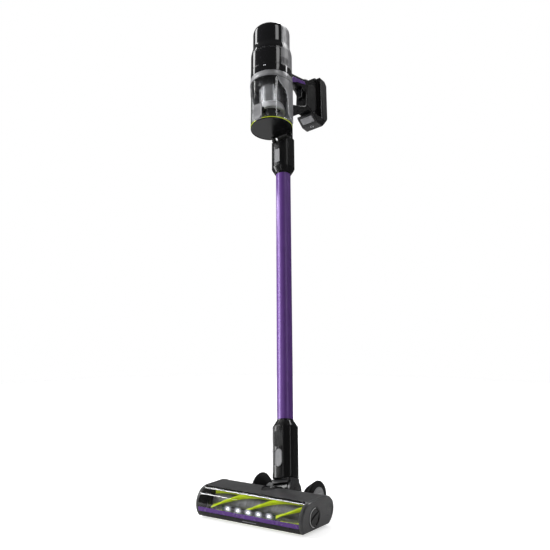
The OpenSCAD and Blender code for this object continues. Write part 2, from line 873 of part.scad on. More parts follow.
module battery_release() {
    color([0.06, 0.06, 0.065]) on_wand() translate([0, 106.5, foot_z0 + 8.2]) rotate([-35.5, 0, 0])
        box(-17, 17, -8, 8, -1.6, 2);
}

// Screws that join the handle's halves
module handle_screws() {
    color([0.6, 0.6, 0.62]) on_wand() for (p = handle_screw_yz) {
        rod_x(handle_w / 2 - 13, handle_w / 2 - 4, p[0], p[1], screw_r);
        rod_x(handle_w / 2 - 4, handle_w / 2 - 2, p[0], p[1], 3);
    }
}

module case_screws() {
    color([0.6, 0.6, 0.62]) at_screws() {
        translate([0, 0, 3]) cylinder(h = 15, r = screw_r);
        translate([0, 0, 2.8]) cylinder(h = 1.2, r = 3);
    }
}

head_cover();
brush_chamber();
neck_socket();
sole_plate();
window();
trim_strip();
bumper();
end_cap_left();
end_cap_right();
led_board();
led_lenses();
brush_core();
brush_bristles();
brush_pulley();
brush_bearing();
release_knob();
drive_motor();
motor_pulley();
drive_belt();
tyre_left();
hub_left();
tyre_right();
hub_right();
wheel_axles();
sole_roller_left();
sole_roller_right();
neck_drum();
neck_pins();
lower_connector();
lower_button();
wand_tube();
upper_connector();
upper_button();
inlet_duct();
trim_ring();
indicator_band();
front_cover();
rear_housing();
filter_cover();
exhaust_filter();
main_motor();
impeller();
pre_filter();
handle_frame();
accent_band();
trigger();
mode_button();
dust_cup();
cup_frame();
shroud();
shroud_collar();
cup_door();
door_seal();
hinge_pins();
door_latch();
battery_case();
battery_cells();
battery_release();
case_screws();
handle_screws();
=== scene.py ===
# Looks of a cordless stick vacuum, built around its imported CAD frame.
import json
import math
import bmesh
import bpy
from mathutils import Matrix, Vector

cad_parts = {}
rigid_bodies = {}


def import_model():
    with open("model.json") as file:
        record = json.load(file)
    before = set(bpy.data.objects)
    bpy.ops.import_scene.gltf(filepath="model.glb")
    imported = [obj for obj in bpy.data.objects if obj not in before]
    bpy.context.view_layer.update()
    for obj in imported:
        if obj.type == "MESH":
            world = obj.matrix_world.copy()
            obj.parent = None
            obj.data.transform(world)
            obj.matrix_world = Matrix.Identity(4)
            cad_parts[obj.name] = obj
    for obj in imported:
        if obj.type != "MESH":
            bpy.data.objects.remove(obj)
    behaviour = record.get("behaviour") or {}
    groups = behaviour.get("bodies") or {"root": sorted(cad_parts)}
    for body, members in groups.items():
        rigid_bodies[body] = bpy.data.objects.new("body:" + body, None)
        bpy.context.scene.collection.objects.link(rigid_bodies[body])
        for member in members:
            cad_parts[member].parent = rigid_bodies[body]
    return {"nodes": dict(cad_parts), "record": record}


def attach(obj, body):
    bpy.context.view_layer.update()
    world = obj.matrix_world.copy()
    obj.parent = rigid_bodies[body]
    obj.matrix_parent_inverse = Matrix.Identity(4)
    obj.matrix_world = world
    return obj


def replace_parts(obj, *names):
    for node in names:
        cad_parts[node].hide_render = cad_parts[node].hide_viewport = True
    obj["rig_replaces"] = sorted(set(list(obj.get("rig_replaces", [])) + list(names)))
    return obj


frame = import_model()
scene = bpy.context.scene
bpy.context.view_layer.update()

# ---- Frames and leading sizes: every shape is drawn in millimetres in one of these frames ----


def turn(degrees, axis):
    return Matrix.Rotation(math.radians(degrees), 4, axis)


def shift(x, y, z):
    return Matrix.Translation((x, y, z))


TAU = 2 * math.pi
MM = .001
HALF = 117                          # half the head's width, without its end caps
ARC_Y, ARC_Z, ARC_R = -38, 27, 34   # the head's curved front
WINDOW_Y = -45                      # where the window's top edge ends
BRUSH_Y, BRUSH_Z = -28, 29
WHEEL_Y, WHEEL_Z = 75, 35
LEAN_SIDE, LEAN_BACK = -13.5, -19   # degrees
CUP_Y = -46                         # the cup's axis, from the wand's
DOOR = 831                          # underside of the cup's door
HINGE_Y, HINGE_Z = -3, 829
LOW_BUTTON, HIGH_BUTTON = 64.5, 769.5

MIRROR = Matrix.Scale(-1, 4, (1, 0, 0))
HEAD = Matrix.Scale(MM, 4)
DRUM = HEAD @ shift(0, 65, 42) @ turn(LEAN_SIDE, "Y")
WAND = DRUM @ turn(LEAN_BACK, "X")
CUP = WAND @ shift(0, CUP_Y, 0)
BRUSH = HEAD @ shift(0, BRUSH_Y, BRUSH_Z)
KNOB = BRUSH @ turn(90, "Y")
SIDES = ((-1, "left"), (1, "right"))

# ---- Materials ----

PLASTIC_IOR, COAT_ROUGHNESS, BUMP_DEPTH = 1.48, .06, .0002
SHADER, SUFFIX = "Principled BSDF", "_look"


def maths(tree, kind, *inputs):
    """A math node's output; each input is a number or the socket that feeds it."""
    n = tree.nodes.new("ShaderNodeMath")
    n.operation = kind
    for socket, v in zip(n.inputs, inputs):
        if isinstance(v, (int, float)):
            socket.default_value = v
        else:
            tree.links.new(v, socket)
    return n.outputs[0]


def settings(node, **values):
    for key, v in values.items():
        node.inputs[key.replace("_", " ")].default_value = v


def material(name, base, rough, metal=0.0, coat=0.0, grain=(3000, .25), mottle=.12, wear=.0, cast=0.0,
             glow=0.0, sheen=0.0, pattern=None, worn=(.5, .5, .5)):
    """Moulded plastic, metal, rubber or glass with fine grain, uneven gloss and worn edges, filed in LOOK.

    grain: scale and strength of the bumps. mottle: spread of the colour. wear: how much of the colour worn
    shows on edges. cast: share of clear glass. pattern: kind of cell, scale, and how dark the cells are
    painted, which is painted shade in the holes or pores.
    """
    m = LOOK[name] = bpy.data.materials.new(name + SUFFIX)
    m.use_nodes = True
    t = m.node_tree
    p = t.nodes[SHADER]
    link = t.links.new

    def node(kind, **inputs):
        n = t.nodes.new("ShaderNode" + kind)
        settings(n, **inputs)
        return n

    def noise(scale, detail):
        n = node("TexNoise", Scale=scale, Detail=detail)
        link(place, n.inputs["Vector"])
        return n.outputs["Fac"]

    def blend(factor, **colours):
        """Mixes colour A into colour B; each is a colour or a socket."""
        n = node("Mix")
        n.data_type = "RGBA"
        link(factor, n.inputs["Factor"])
        for key, v in colours.items():
            if isinstance(v, tuple):
                n.inputs[key].default_value = v
            else:
                link(v, n.inputs[key])
        return n.outputs["Result"]

    place = node("TexCoord").outputs["Object"]
    settings(p, Metallic=metal, Coat_Weight=coat, Coat_Roughness=COAT_ROUGHNESS, Sheen_Weight=sheen,
             IOR=PLASTIC_IOR, Transmission_Weight=cast)
    if glow:
        settings(p, Emission_Color=(*base, 1), Emission_Strength=glow)
    # colour: soft mottling, then the worn tint along edges
    ramp = node("ValToRGB")
    for stop, position, share in zip(ramp.color_ramp.elements, (.35, .65), (1 - mottle, 1 + mottle)):
        stop.position = position
        stop.color = (*[min(c * share, 1) for c in base], 1)
    link(noise(55.0, 3.0), ramp.inputs["Fac"])
    colour = ramp.outputs["Color"]
    if wear:
        edge = node("MapRange", From_Min=.52, From_Max=.60)
        link(node("NewGeometry").outputs["Pointiness"], edge.inputs["Value"])
        patchy = maths(t, "MULTIPLY", edge.outputs["Result"], noise(400.0, 4.0))
        colour = blend(maths(t, "MULTIPLY", patchy, wear), A=colour, B=(*worn, 1))
    height = noise(float(grain[0]), 2.0)
    # the pattern's holes or pores are painted darker: painted shade in them
    if pattern:
        kind, size, hole_shade = pattern
        cells = node("TexVoronoi", Scale=size, Randomness=0 if kind == "holes" else 1)
        link(place, cells.inputs["Vector"])
        rim = node("MapRange", From_Min=.22, From_Max=.34)
        link(cells.outputs["Distance"], rim.inputs["Value"])
        colour = blend(rim.outputs["Result"], A=(*[c * hole_shade for c in base], 1), B=colour)
        height = maths(t, "ADD", height, rim.outputs["Result"])
    link(colour, p.inputs["Base Color"])
    # gloss: smudged a little
    gloss = node("MapRange", To_Min=max(rough * .85, .02), To_Max=min(rough * 1.15 + .01, 1))
    link(noise(120.0, 4.0), gloss.inputs["Value"])
    link(gloss.outputs["Result"], p.inputs["Roughness"])
    bump = node("Bump", Strength=grain[1], Distance=BUMP_DEPTH)
    link(height, bump.inputs["Height"])
    link(bump.outputs["Normal"], p.inputs["Normal"])
    m.diffuse_color = (*base, 1)
    return m


LOOK = {}
CHARCOAL = material("charcoal_plastic", (.030, .030, .032), .32, grain=(2600, .35), wear=.10)
BLACK = material("black_plastic", (.006, .006, .0065), .20, grain=(2600, .22), wear=.05)
GLOSS = material("gloss_black", (.004, .004, .005), .07, coat=.6, grain=(900, .01), mottle=.05)
GREY = material("grey_plastic", (.21, .21, .22), .38, grain=(2400, .35), wear=.12)
BATTERY = material("battery_grey", (.012, .012, .013), .30, grain=(2400, .35), wear=.12)
BUTTON = material("button_grey", (.22, .22, .23), .38, grain=(2600, .25), wear=.12)
RING = material("ring_silver", (.34, .34, .35), .30, metal=.3, grain=(2600, .12), wear=.1)
PURPLE = material("purple_metal", (.125, .046, .26), .38, metal=.2, coat=.1, grain=(5200, .12),
                  mottle=.06, wear=.08, worn=(.4, .32, .55))
VIOLET = material("purple_plastic", (.088, .022, .21), .26, coat=.3, grain=(2600, .1), mottle=.06)
CLEAR = material("clear_cup", (.93, .94, .95), .02, cast=1.0, grain=(300, .004), mottle=.01)
SMOKE = material("smoked_window", (.62, .62, .64), .03, cast=1.0, grain=(300, .004), mottle=.02)
SHROUD = material("shroud_silver", (.50, .50, .51), .24, metal=.85, grain=(2600, .06),
                  pattern=("holes", 700, .25))
FLANGE = material("shroud_flange", (.36, .36, .37), .35, grain=(2600, .1))
# painted light: the lime rubber and the bristles glow (glow .45 and .75) though they are no lamp, standing in
# for the LEDs' light falling on them
LIME = material("lime_rubber", (.56, .70, .012), .40, grain=(2600, .2), glow=.45)
BRISTLE = material("lime_bristle", (.60, .74, .015), .55, grain=(7000, .8), mottle=.2, glow=.75)
TYRE = material("tyre_rubber", (.006, .006, .0065), .55, grain=(3200, .5), wear=.05, worn=(.1, .1, .1))
STEEL = material("steel", (.55, .55, .57), .28, metal=1.0, grain=(5200, .2))
MOTOR = material("motor_metal", (.5, .5, .52), .32, metal=.9, grain=(3200, .2))
LENS = material("led_lens", (.92, .96, 1.0), .2, glow=9.0, grain=(900, .02))
GLOW = material("light_guide", (.02, .02, .022), .4, glow=.5, grain=(900, .1))
BOARD = material("circuit_board", (.01, .07, .03), .35, grain=(2600, .2))
MEDIA = material("filter_media", (.75, .75, .71), .9, grain=(4200, .9), sheen=.2)
FOAM = material("filter_foam", (.06, .06, .065), .95, grain=(2600, 1.0), pattern=("pores", 900, .3))
material("cell_wrap", (.03, .10, .25), .35, grain=(2600, .1))
WHITE = material("white_plastic", (.62, .62, .62), .4, grain=(2600, .2))
DOT = material("indicator_dot", (.9, .93, 1.0), .3, glow=2.5, grain=(900, .02))


def halo(look, step, z, near, far, peak):
    """Painted light: a soft round pool of the lenses' light is painted as glow on the light guide about each
    lens; sizes in metres.
    """
    t = look.node_tree
    split = t.nodes.new("ShaderNodeSeparateXYZ")
    t.links.new(t.nodes.new("ShaderNodeTexCoord").outputs["Object"], split.inputs[0])
    x = maths(t, "PINGPONG", split.outputs["X"], step / 2)
    up = maths(t, "SUBTRACT", split.outputs["Z"], z)
    away = maths(t, "SQRT", maths(t, "ADD", maths(t, "MULTIPLY", x, x), maths(t, "MULTIPLY", up, up)))
    fade = t.nodes.new("ShaderNodeMapRange")
    fade.interpolation_type = "SMOOTHERSTEP"
    settings(fade, From_Min=near, From_Max=far, To_Min=peak, To_Max=0)
    t.links.new(away, fade.inputs["Value"])
    t.links.new(fade.outputs["Result"], t.nodes[SHADER].inputs["Emission Strength"])
    settings(t.nodes[SHADER], Emission_Color=(.9, .93, 1, 1))


LENS_STEP, LENS_Z = 24, 28
# painted light: the light guide glows about each lens though it is no lamp
halo(GLOW, LENS_STEP * MM, LENS_Z * MM, .0012, .0105, 1.1)
for dull, level in ((TYRE, .12), (BLACK, .35)):
    settings(dull.node_tree.nodes[SHADER], Specular_IOR_Level=level)
LOOK["belt_rubber"] = TYRE
SLOT = {s["node"]: s["material_slot"] for s in frame["record"]["subparts"]}
BODY = {n: b for b, ns in frame["record"]["behaviour"]["bodies"].items() for n in ns}

# ---- Outlines (lists of 2-D points, anticlockwise) ----


def rnd(points, r, n=6):
    """Rounds the corners of a closed outline; a point may carry its own radius as a third number."""
    out = []
    k = len(points)
    for i in range(k):
        a, b, c = (Vector(points[j % k][:2]) for j in (i - 1, i, i + 1))
        radius = points[i][2] if len(points[i]) > 2 else r
        u, v = (a - b), (c - b)
        lu, lv = u.length, v.length
        u.normalize(), v.normalize()
        ang = math.acos(max(-1, min(1, u.dot(v))))
        if radius <= .01 or ang > math.pi - .02:
            out.append(tuple(b))
            continue
        d = min(radius / math.tan(ang / 2), lu * .49, lv * .49)
        radius = d * math.tan(ang / 2)
        centre = b + (u + v).normalized() * radius / math.sin(ang / 2)
        s, e = b + u * d - centre, b + v * d - centre
        sweep = s.angle_signed(e)
        for j in range(n + 1):
            w = s.copy()
            w.rotate(Matrix.Rotation(-sweep * j / n, 2))
            out.append(tuple(centre + w))
    return out


def spline(points, n=6):
    """A smooth open curve through the points."""
    out = []
    for i in range(len(points) - 1):
        p0, p1, p2, p3 = (Vector(points[max(0, min(len(points) - 1, j))]) for j in (i - 1, i, i + 1, i + 2))
        for j in range(n):
            s = j / n
            out.append(tuple(.5 * (2 * p1 + (p2 - p0) * s + (2 * p0 - 5 * p1 + 4 * p2 - p3) * s * s
                                   + (3 * p1 - p0 - 3 * p2 + p3) * s ** 3)))
    return out + [tuple(points[-1])]


def grow(outline, d):
    """Moves an outline outwards by d."""
    out = []
    k = len(outline)
    for i in range(k):
        a, b, c = (Vector(outline[j % k]) for j in (i - 1, i, i + 1))
        e1, e2 = (b - a), (c - b)
        if e1.length < 1e-6 or e2.length < 1e-6:
            e1 = e2 = (c - a)
        n1 = Vector((e1.y, -e1.x)).normalized()
        n2 = Vector((e2.y, -e2.x)).normalized()
        m = (n1 + n2).normalized()
        out.append(tuple(b + m * d / max(m.dot(n1), .5)))
    return out


def area(o):
    return sum(a[0] * b[1] - b[0] * a[1] for a, b in zip(o, o[1:] + o[:1])) / 2


def anticlockwise(o):
    return o if area(o) > 0 else o[::-1]


def circle(r, x=0, y=0, n=64):
    return [(x + r * math.cos(TAU * i / n), y + r * math.sin(TAU * i / n)) for i in range(n)]


def pill(w, h, x=0, y=0, n=12):
    r = w / 2
    return [(x + r * math.cos(a), y + s * (h / 2 - r) + r * math.sin(a))
            for s, a0 in ((1, 0), (-1, math.pi)) for a in [a0 + math.pi * i / n for i in range(n + 1)]]


def arc_line(r, t0, t1, n):
    """Points of an arc about the origin, between two angles in degrees."""
    return [(r * math.cos(a), r * math.sin(a)) for a in [math.radians(t0 + (t1 - t0) * i / n)
                                                         for i in range(n + 1)]]


def rect(x0, x1, y0, y1, r=0.0, n=5):
    return rnd([(x0, y0), (x1, y0), (x1, y1), (x0, y1)], r, n)


def polar(f, n=96):
    return [(f(a) * math.cos(a), f(a) * math.sin(a)) for a in [TAU * i / n for i in range(n)]]


# ---- Meshes, in the millimetres of a frame ----

AXES = {"x": lambda a, b, h: (h, a, b), "y": lambda a, b, h: (a, h, b), "z": lambda a, b, h: (a, b, h)}


def build(verts, faces):
    bm = bmesh.new()
    vs = [bm.verts.new(v) for v in verts]
    for f in faces:
        try:
            bm.faces.new([vs[i] for i in f])
        except ValueError:
            pass
    bmesh.ops.remove_doubles(bm, verts=bm.verts, dist=1e-4)
    bmesh.ops.dissolve_degenerate(bm, dist=1e-5, edges=bm.edges)
    bmesh.ops.delete(bm, geom=[e for e in bm.edges if not e.link_faces], context="EDGES")
    bmesh.ops.recalc_face_normals(bm, faces=bm.faces)
    if bm.calc_volume(signed=True) < 0:
        bmesh.ops.reverse_faces(bm, faces=bm.faces)
    return bm


def loft(rings, closed=False, caps=True):
    """Joins rings of equal length, each a list of 3-D points."""
    n = len(rings[0])
    verts = [p for r in rings for p in r]
    faces = []
    m = len(rings)
    for k in range(m if closed else m - 1):
        a, b = k * n, (k + 1) % m * n
        faces += [(a + i, a + (i + 1) % n, b + (i + 1) % n, b + i) for i in range(n)]
    if caps and not closed:
        faces += [tuple(range(n))[::-1], tuple(range((m - 1) * n, m * n))]
    return build(verts, faces)


def prism(outline, lo, hi, axis="z", b=.8, n=3, b0=None):
    """An outline raised from lo to hi.

    At hi the rim is rounded by b. At lo the face lies b0 deep behind a sloped rim: it is sunk, not rounded.
    """
    outline = anticlockwise(outline)
    b0 = b if b0 is None else b0
    steps = [math.pi / 2 * k / n for k in range(n + 1)]
    sunk = [b0 * (1 - math.sin(a)) for a in (steps if b0 > 0 else steps[-1:])]
    levels = [(lo + d, d) for d in sunk]
    levels += [(hi - b * (1 - math.sin(a)), b * (1 - math.cos(a))) for a in (steps if b > 0 else steps[-1:])]
    return loft([[AXES[axis](*p, z) for p in grow(outline, -d)] for z, d in levels])


def lathe(profile, n=96, arc=None):
    """A closed (radius, height) outline turned round Z, fully or between two angles in degrees."""
    steps = n if arc is None else n + 1
    a0, a1 = (0, TAU) if arc is None else map(math.radians, arc)
    rings = [[(r * math.cos(a), r * math.sin(a), z) for r, z in profile]
             for a in [a0 + (a1 - a0) * i / n for i in range(steps)]]
    return loft(rings, closed=arc is None, caps=arc is not None)


def spun(profile, n, k=3, arc=None):
    """A lathe of a profile whose points may carry their own radius, with k steps round each corner."""
    return lathe(rnd(profile, 0, k), n, arc)


def rod(r, lo, hi, n):
    return lathe([(0, lo), (r, lo), (r, hi), (0, hi)], n)


def band(f_out, f_in, zs, n=96):
    """A hollow shell: outer and inner radius by angle, over a list of heights."""
    outer = [[(*p, z) for p in polar(lambda a: f_out(a, z), n)] for z in zs]
    inner = [[(*p, z) for p in polar(lambda a: f_in(a, z), n)] for z in zs[::-1]]
    return loft(outer + inner, closed=True)


def joined(*bms):
    out = bmesh.new()
    for b in bms:
        me = bpy.data.meshes.new("t")
        b.to_mesh(me)
        out.from_mesh(me)
        bpy.data.meshes.remove(me)
        b.free()
    return out


def moved(bm, m):
    bm.transform(m)
    return bm


def mesh_object(name, bm):
    me = bpy.data.meshes.new(name)
    bm.to_mesh(me)
    bm.free()
    o = bpy.data.objects.new(name, me)
    scene.collection.objects.link(o)
    return o


def baked(o):
    """The object's mesh with its modifiers applied."""
    dg = bpy.context.evaluated_depsgraph_get()
    dg.update()
    me = bpy.data.meshes.new_from_object(o.evaluated_get(dg))
    old = o.data
    o.modifiers.clear()
    o.data = me
    bpy.data.meshes.remove(old)


def boolean(o, op, *bms):
    for bm in bms:
        c = mesh_object("cutter", bm)
        mod = o.modifiers.new("cut", "BOOLEAN")
        mod.operation = op
        mod.solver = "EXACT"
        mod.object = c
        bpy.context.view_layer.update()
        baked(o)
        bpy.data.objects.remove(c)
    return o


BEVEL_ANGLE, SHARP_ANGLE, BEVEL_STEPS = 32, 35, 2


def piece(name, shape, place, body, look, node=None, bevel=0.0):
    """Finishes a mesh: soft edges, smooth shading, material, and its place on a CAD body.
    """
    o = shape if isinstance(shape, bpy.types.Object) else mesh_object(name, shape)
    o.name = name
    o.data.name = name
    o.data.transform(place)
    if place.is_negative:
        o.data.flip_normals()
    if bevel:
        mod = o.modifiers.new("bevel", "BEVEL")
        mod.width = bevel * MM
        mod.segments = BEVEL_STEPS
        mod.limit_method = "ANGLE"
        mod.angle_limit = math.radians(BEVEL_ANGLE)
        mod.use_clamp_overlap = True
        bpy.context.view_layer.update()
        baked(o)
    o.data.materials.clear()
    o.data.materials.append(look)
    o.data.polygons.foreach_set("use_smooth", [True] * len(o.data.polygons))
    o.data.set_sharp_from_angle(angle=math.radians(SHARP_ANGLE))
    mod = o.modifiers.new("normals", "WEIGHTED_NORMAL")
    mod.keep_sharp = True
    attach(o, body)
    if node:
        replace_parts(o, node)
    return o


def carry(node, bevel):
    """A finished copy of a CAD node: welded, cleaned, with its edges softened."""
    src = frame["nodes"][node]
    bm = bmesh.new()
    bm.from_mesh(src.data)
    bm.transform(src.matrix_world)
    bmesh.ops.remove_doubles(bm, verts=bm.verts, dist=2e-6)
    bmesh.ops.dissolve_limit(bm, angle_limit=math.radians(.6), verts=bm.verts, edges=bm.edges)
    bmesh.ops.recalc_face_normals(bm, faces=bm.faces)
    return piece(node + "_fine", bm, Matrix.Identity(4), BODY[node], LOOK[SLOT[node]], node, bevel)


# ---- Floor head ----

# shallow valley in the cover's top, ahead of the neck
SCOOP = rnd([(-17, 13.2, 0), (-15, 2, 8), (0, -26, 6), (15, 2, 8), (17, 13.2, 0)], 0, 6)
REAR = spline([(13, 61), (27, 57.8), (36, 52.5), (41.5, 46), (44, 38), (44, 30), (41, 20), (34, 11),
               (26, 5)], 4)
SOLE_Z, CREST_Z = 5, 60.99


def window_top(r):
    return ARC_Z + math.sqrt(r * r - (ARC_Y - WINDOW_Y) ** 2)


def front_arc(r, z0, z1=None, n=24):
    """Points of the head's curved front from height z0 to z1, or up to the window's top edge."""
    z1 = window_top(r) if z1 is None else z1
    a0, a1 = (math.pi - math.asin((z - ARC_Z) / r) for z in (z0, z1))
    return [(ARC_Y + r * math.cos(a0 + (a1 - a0) * i / n),
             ARC_Z + r * math.sin(a0 + (a1 - a0) * i / n)) for i in range(n + 1)]


def band_x(r0, r1, z0, z1, x0=-HALF, x1=HALF, b=.4):
    return prism(front_arc(r1, z0, z1) + front_arc(r0, z0, z1)[::-1], x0, x1, "x", b, 2)


arc_top = [p for p in front_arc(ARC_R, 59, CREST_Z, 12) if p[0] > WINDOW_Y + .1]
outer = [(WINDOW_Y, window_top(ARC_R))] + arc_top + REAR
inner = [(y, z) for y, z in grow(outer[::-1], -2.4) if z > SOLE_Z and y > WINDOW_Y - 1]
shell = mesh_object("shell", prism(outer + [(25, SOLE_Z)] + inner, -HALF, HALF, "x", .5, 2))
BAY = rnd([(-22, 12.9), (22, 12.9), (22, 35), (44, 35), (44, 60), (-44, 60), (-44, 35), (-22, 35)], 3)
WHEEL_ARCH = circle(38, WHEEL_Y, WHEEL_Z)
boolean(shell, "DIFFERENCE", prism(BAY, 38, 80, b=0), prism(rect(-44, 44, 35, 60, 3), -1, 39, b=0),
        prism(SCOOP, 59.5, 80, b=0), prism(pill(22, 32, 0, 4), 52, 80, b=0),
        prism(WHEEL_ARCH, 44.5, 90, "x", 0), prism(WHEEL_ARCH, -90, -44.5, "x", 0))
piece("head_cover_shell", shell, HEAD, "floor_head", CHARCOAL, "head_cover", bevel=.5)
# black sheets lining the valley and the opening ahead of the neck: painted shade in these recesses
piece("head_cover_valley_shade", prism(grow(SCOOP, -.15), 59.35, 59.7, b=.1, n=1), HEAD, "floor_head", BLACK)
piece("head_cover_scoop_shade", prism(pill(21.6, 31.6, 0, 4), 50.5, 51.9, b=.2), HEAD, "floor_head", BLACK)
for i, z in enumerate((55.8, 53.6)):
    piece(f"cover_seam_{i}", prism(rect(.4 - HALF, HALF - .4, 0, .5), 0, .12, b=.05, n=1),
          HEAD @ shift(0, 29.6 + i * 3.2, z + 1.15) @ turn(-30 - 5 * i, "X"), "floor_head", BLACK)

carry("brush_chamber", .3)
carry("neck_socket", .8)
carry("sole_plate", .5)
pane = piece("window_pane", band_x(31.6, ARC_R, 24.4, None, b=.5), HEAD, "floor_head", SMOKE, "window")
pane.visible_shadow = False
LIP = rnd([(-45.9, 60.35), (-44.7, 60.5), (-44.7, 61.0), (-45.4, 61.15), (-46.1, 60.9)], .25, 3)
piece("window_lip", prism(LIP, .6 - HALF, HALF - .6, "x", .3, 2), HEAD, "floor_head", GLOSS)
piece("purple_strip", band_x(31.6, 34.7, 15.7, 24.1, b=.6), HEAD, "floor_head", VIOLET, "trim_strip")
bumper = joined(band_x(30.6, ARC_R, 5.05, 15.3, b=.5),
                prism(rect(-HALF, HALF, -61.8, -56.2, .4), 5.05, 7.4, b=.3))
piece("bumper_strip", bumper, HEAD, "floor_head", BLACK, "bumper")
piece("bumper_slot", band_x(33.2, 34.15, 9.0, 10.6, -13, 19, .3), HEAD, "floor_head", BUTTON)
for i, x in enumerate((-100, -60, 60, 100)):
    piece(f"bumper_rib_{i}", band_x(33.2, 34.3, 6.6, 13.6, x - 6, x + 6, .4), HEAD, "floor_head", BLACK)


def end_cap(side, name):
    """Domed cap with a stepped rim and a grille; the right one also has the knob's recess."""
    place = HEAD if side > 0 else HEAD @ MIRROR
    o = grow(anticlockwise(front_arc(ARC_R, SOLE_Z, CREST_Z) + REAR), .5)
    steps = ((117.1, 0), (121.2, 0), (122.0, .3), (122.3, 1.0), (122.5, 1.3), (123.6, 1.5), (124.5, 2.2),
             (125.0, 3.6))
    cap = mesh_object("cap", loft([[(x, *p) for p in grow(o, -d)] for x, d in steps]))
    cuts = []
    if side > 0:
        to_brush = shift(0, BRUSH_Y, BRUSH_Z) @ turn(90, "Y")
        cuts += [moved(rod(19.4, 120.2, 130, 96), to_brush), moved(rod(8.1, 110, 130, 48), to_brush)]
    cuts.append(prism(rnd([(16, 20), (33, 22), (38, 30), (37, 40), (30, 44), (16, 44)], 5), 124.2, 130, "x",
                      0))
    boolean(cap, "DIFFERENCE", *cuts)
    piece(f"end_cap_{name}_shell", cap, place, "floor_head", CHARCOAL, f"end_cap_{name}", bevel=.35)
    holes = []
    for j in range(8):
        for i in range(6):
            y = 19 + 2.9 * i + (1.45 if j % 2 else 0)
            if y < 35.5 - abs(j - 4) * .5:
                holes.append(prism(circle(.95, y, 23.6 + 2.6 * j, 10), 124.0, 124.28, "x", .05, 1))
    piece(f"end_cap_{name}_grille", joined(*holes), place, "floor_head", GLOSS)


end_cap(1, "right")
end_cap(-1, "left")
plate = prism(rect(-44, -12, 14, 44, 8), 124.6, 125.0, "x", .3)
piece("end_cap_left_cover", plate, HEAD @ MIRROR, "floor_head", BLACK)

KX = HALF
KNOB_SHAPE = [(0, KX + 3.3), (19, KX + 3.3), (19, KX + 8.6, 1.2), (16.4, KX + 8.6, .5), (15.8, KX + 7.2, .5),
              (0, KX + 7.2)]
piece("knob_disc", joined(
    spun(KNOB_SHAPE, 96, 4),
    rod(8, KX - 3, KX + 3.3, 48),
    rod(6, KX - 15, KX - 3, 40),
    moved(prism(pill(5.4, 30.6), KX + 7.1, KX + 8.7, b=.7), turn(25, "Z"))),
    KNOB, "knob", BLACK, "release_knob")
# a white arc along the edge of the knob's recess: a painted highlight
KNOB_GLINT = [(17.1, KX + 8.2), (18.5, KX + 8.2), (18.5, KX + 8.78, .2), (17.1, KX + 8.78, .2)]
piece("knob_painted_highlight", spun(KNOB_GLINT, 40, 2, (172, 352)), KNOB, "knob", WHITE)
RIM = [(19.6, KX + 7.4), (21.2, KX + 7.4), (21.2, KX + 8.15, .3), (19.6, KX + 8.15, .3)]
piece("knob_rim", spun(RIM, 72, 2), KNOB, "floor_head", CHARCOAL)

piece("light_board", prism(rect(-62, 62, 23.2, 32.8, 1), -65.5, -64, "y", .2), HEAD, "floor_head", BOARD,
      "led_board")
piece("light_guide", prism(rect(-58, 58, 24.6, 33.4, 3), -66.6, -65.6, "y", .3), HEAD, "floor_head", GLOW)
LENS_SHAPE = rnd([(0, 0), (2.1, 0), (2.1, .5, .2), (1.5, 1.2, .3), (1.4, 2.2, .7), (0, 2.7)], 0, 4)
lens = [moved(lathe(LENS_SHAPE, 32), shift(i * LENS_STEP, -65.5, LENS_Z) @ turn(90, "X"))
        for i in range(-2, 3)]
piece("lights", joined(*lens), HEAD, "floor_head", LENS, "led_lenses")

CORE_R = 17
core = [(0, -102), (CORE_R, -102, 1)]
for x in range(-100, 108, 8):
    core += [(CORE_R, x, .2), (16.5, x + .4, .2), (16.5, x + 1.2, .2), (CORE_R, x + 1.6, .2)]
core += [(CORE_R, 110, 1), (6.06, 110), (6.06, 100), (0, 100)]
# the drum is drawn in mid grey, lighter than its black plastic: painted light for the lit chamber behind the
# smoked window
piece("brush_drum", joined(spun(core, 64, 2), rod(4, -113.5, -102, 32)), KNOB, "brush_roll", GREY,
      "brush_core")


STRIPS, TUFTS, PITCH, PHASE = 4, 132, 300, 20    # PITCH is the length of one whole twist
STRIP_X, STRIP_LENGTH = -100, 208


def strip_angle(x, s):
    return -(x - STRIP_X) / PITCH * TAU + s * TAU / STRIPS + math.radians(PHASE)


def tuft(x, a, side, k, s):
    """One six-sided tuft, tilted a little by its place in the row."""
    tilt = math.sin(k * 12.9 + s * 78 + side) * .05
    c, sn = math.cos(a), math.sin(a)
    rings = []
    for w, h in [(0.55, .0), (.8, 4.0), (.95, 8.3), (.5, 8.75 + .1 * math.sin(k * 7.1 + s))]:
        ring = []
        for i in range(6):
            u, v = w * math.cos(TAU * i / 6), w * .8 * math.sin(TAU * i / 6)
            across, r = side * .55 + v + tilt * h, CORE_R + .1 + h
            ring.append((x + u, r * c - across * sn, r * sn + across * c))
        rings.append(ring)
    return loft(rings)


def bristles():
    """Helical strips of tufts, two rows on each."""
    tufts = []
    for s in range(STRIPS):
        for k in range(TUFTS):
            x = STRIP_X + 1.2 + k * (STRIP_LENGTH - 2.4) / (TUFTS - 1)
            tufts += [tuft(x, strip_angle(x, s), side, k, s) for side in (-.8, .8)]
    return joined(*tufts)


def helix_base():
    """The flexible base under the strips of tufts."""
    section = ((17.0, -2.2), (18.6, -1.9), (22.4, -.75), (22.4, .75), (18.6, 1.9), (17.0, 2.2))
    places = [STRIP_X + STRIP_LENGTH * k / 160 for k in range(161)]
    parts = []
    for s in range(STRIPS):
        rings = []
        for x in places:
            c, sn = math.cos(strip_angle(x, s)), math.sin(strip_angle(x, s))
            rings.append([(x, r * c - w * sn, r * sn + w * c) for r, w in section])
        parts.append(loft(rings))
    return joined(*parts)


piece("brush_tufts", bristles(), BRUSH, "brush_roll", BRISTLE, "brush_bristles")
piece("brush_strip_base", helix_base(), BRUSH, "brush_roll", LIME)


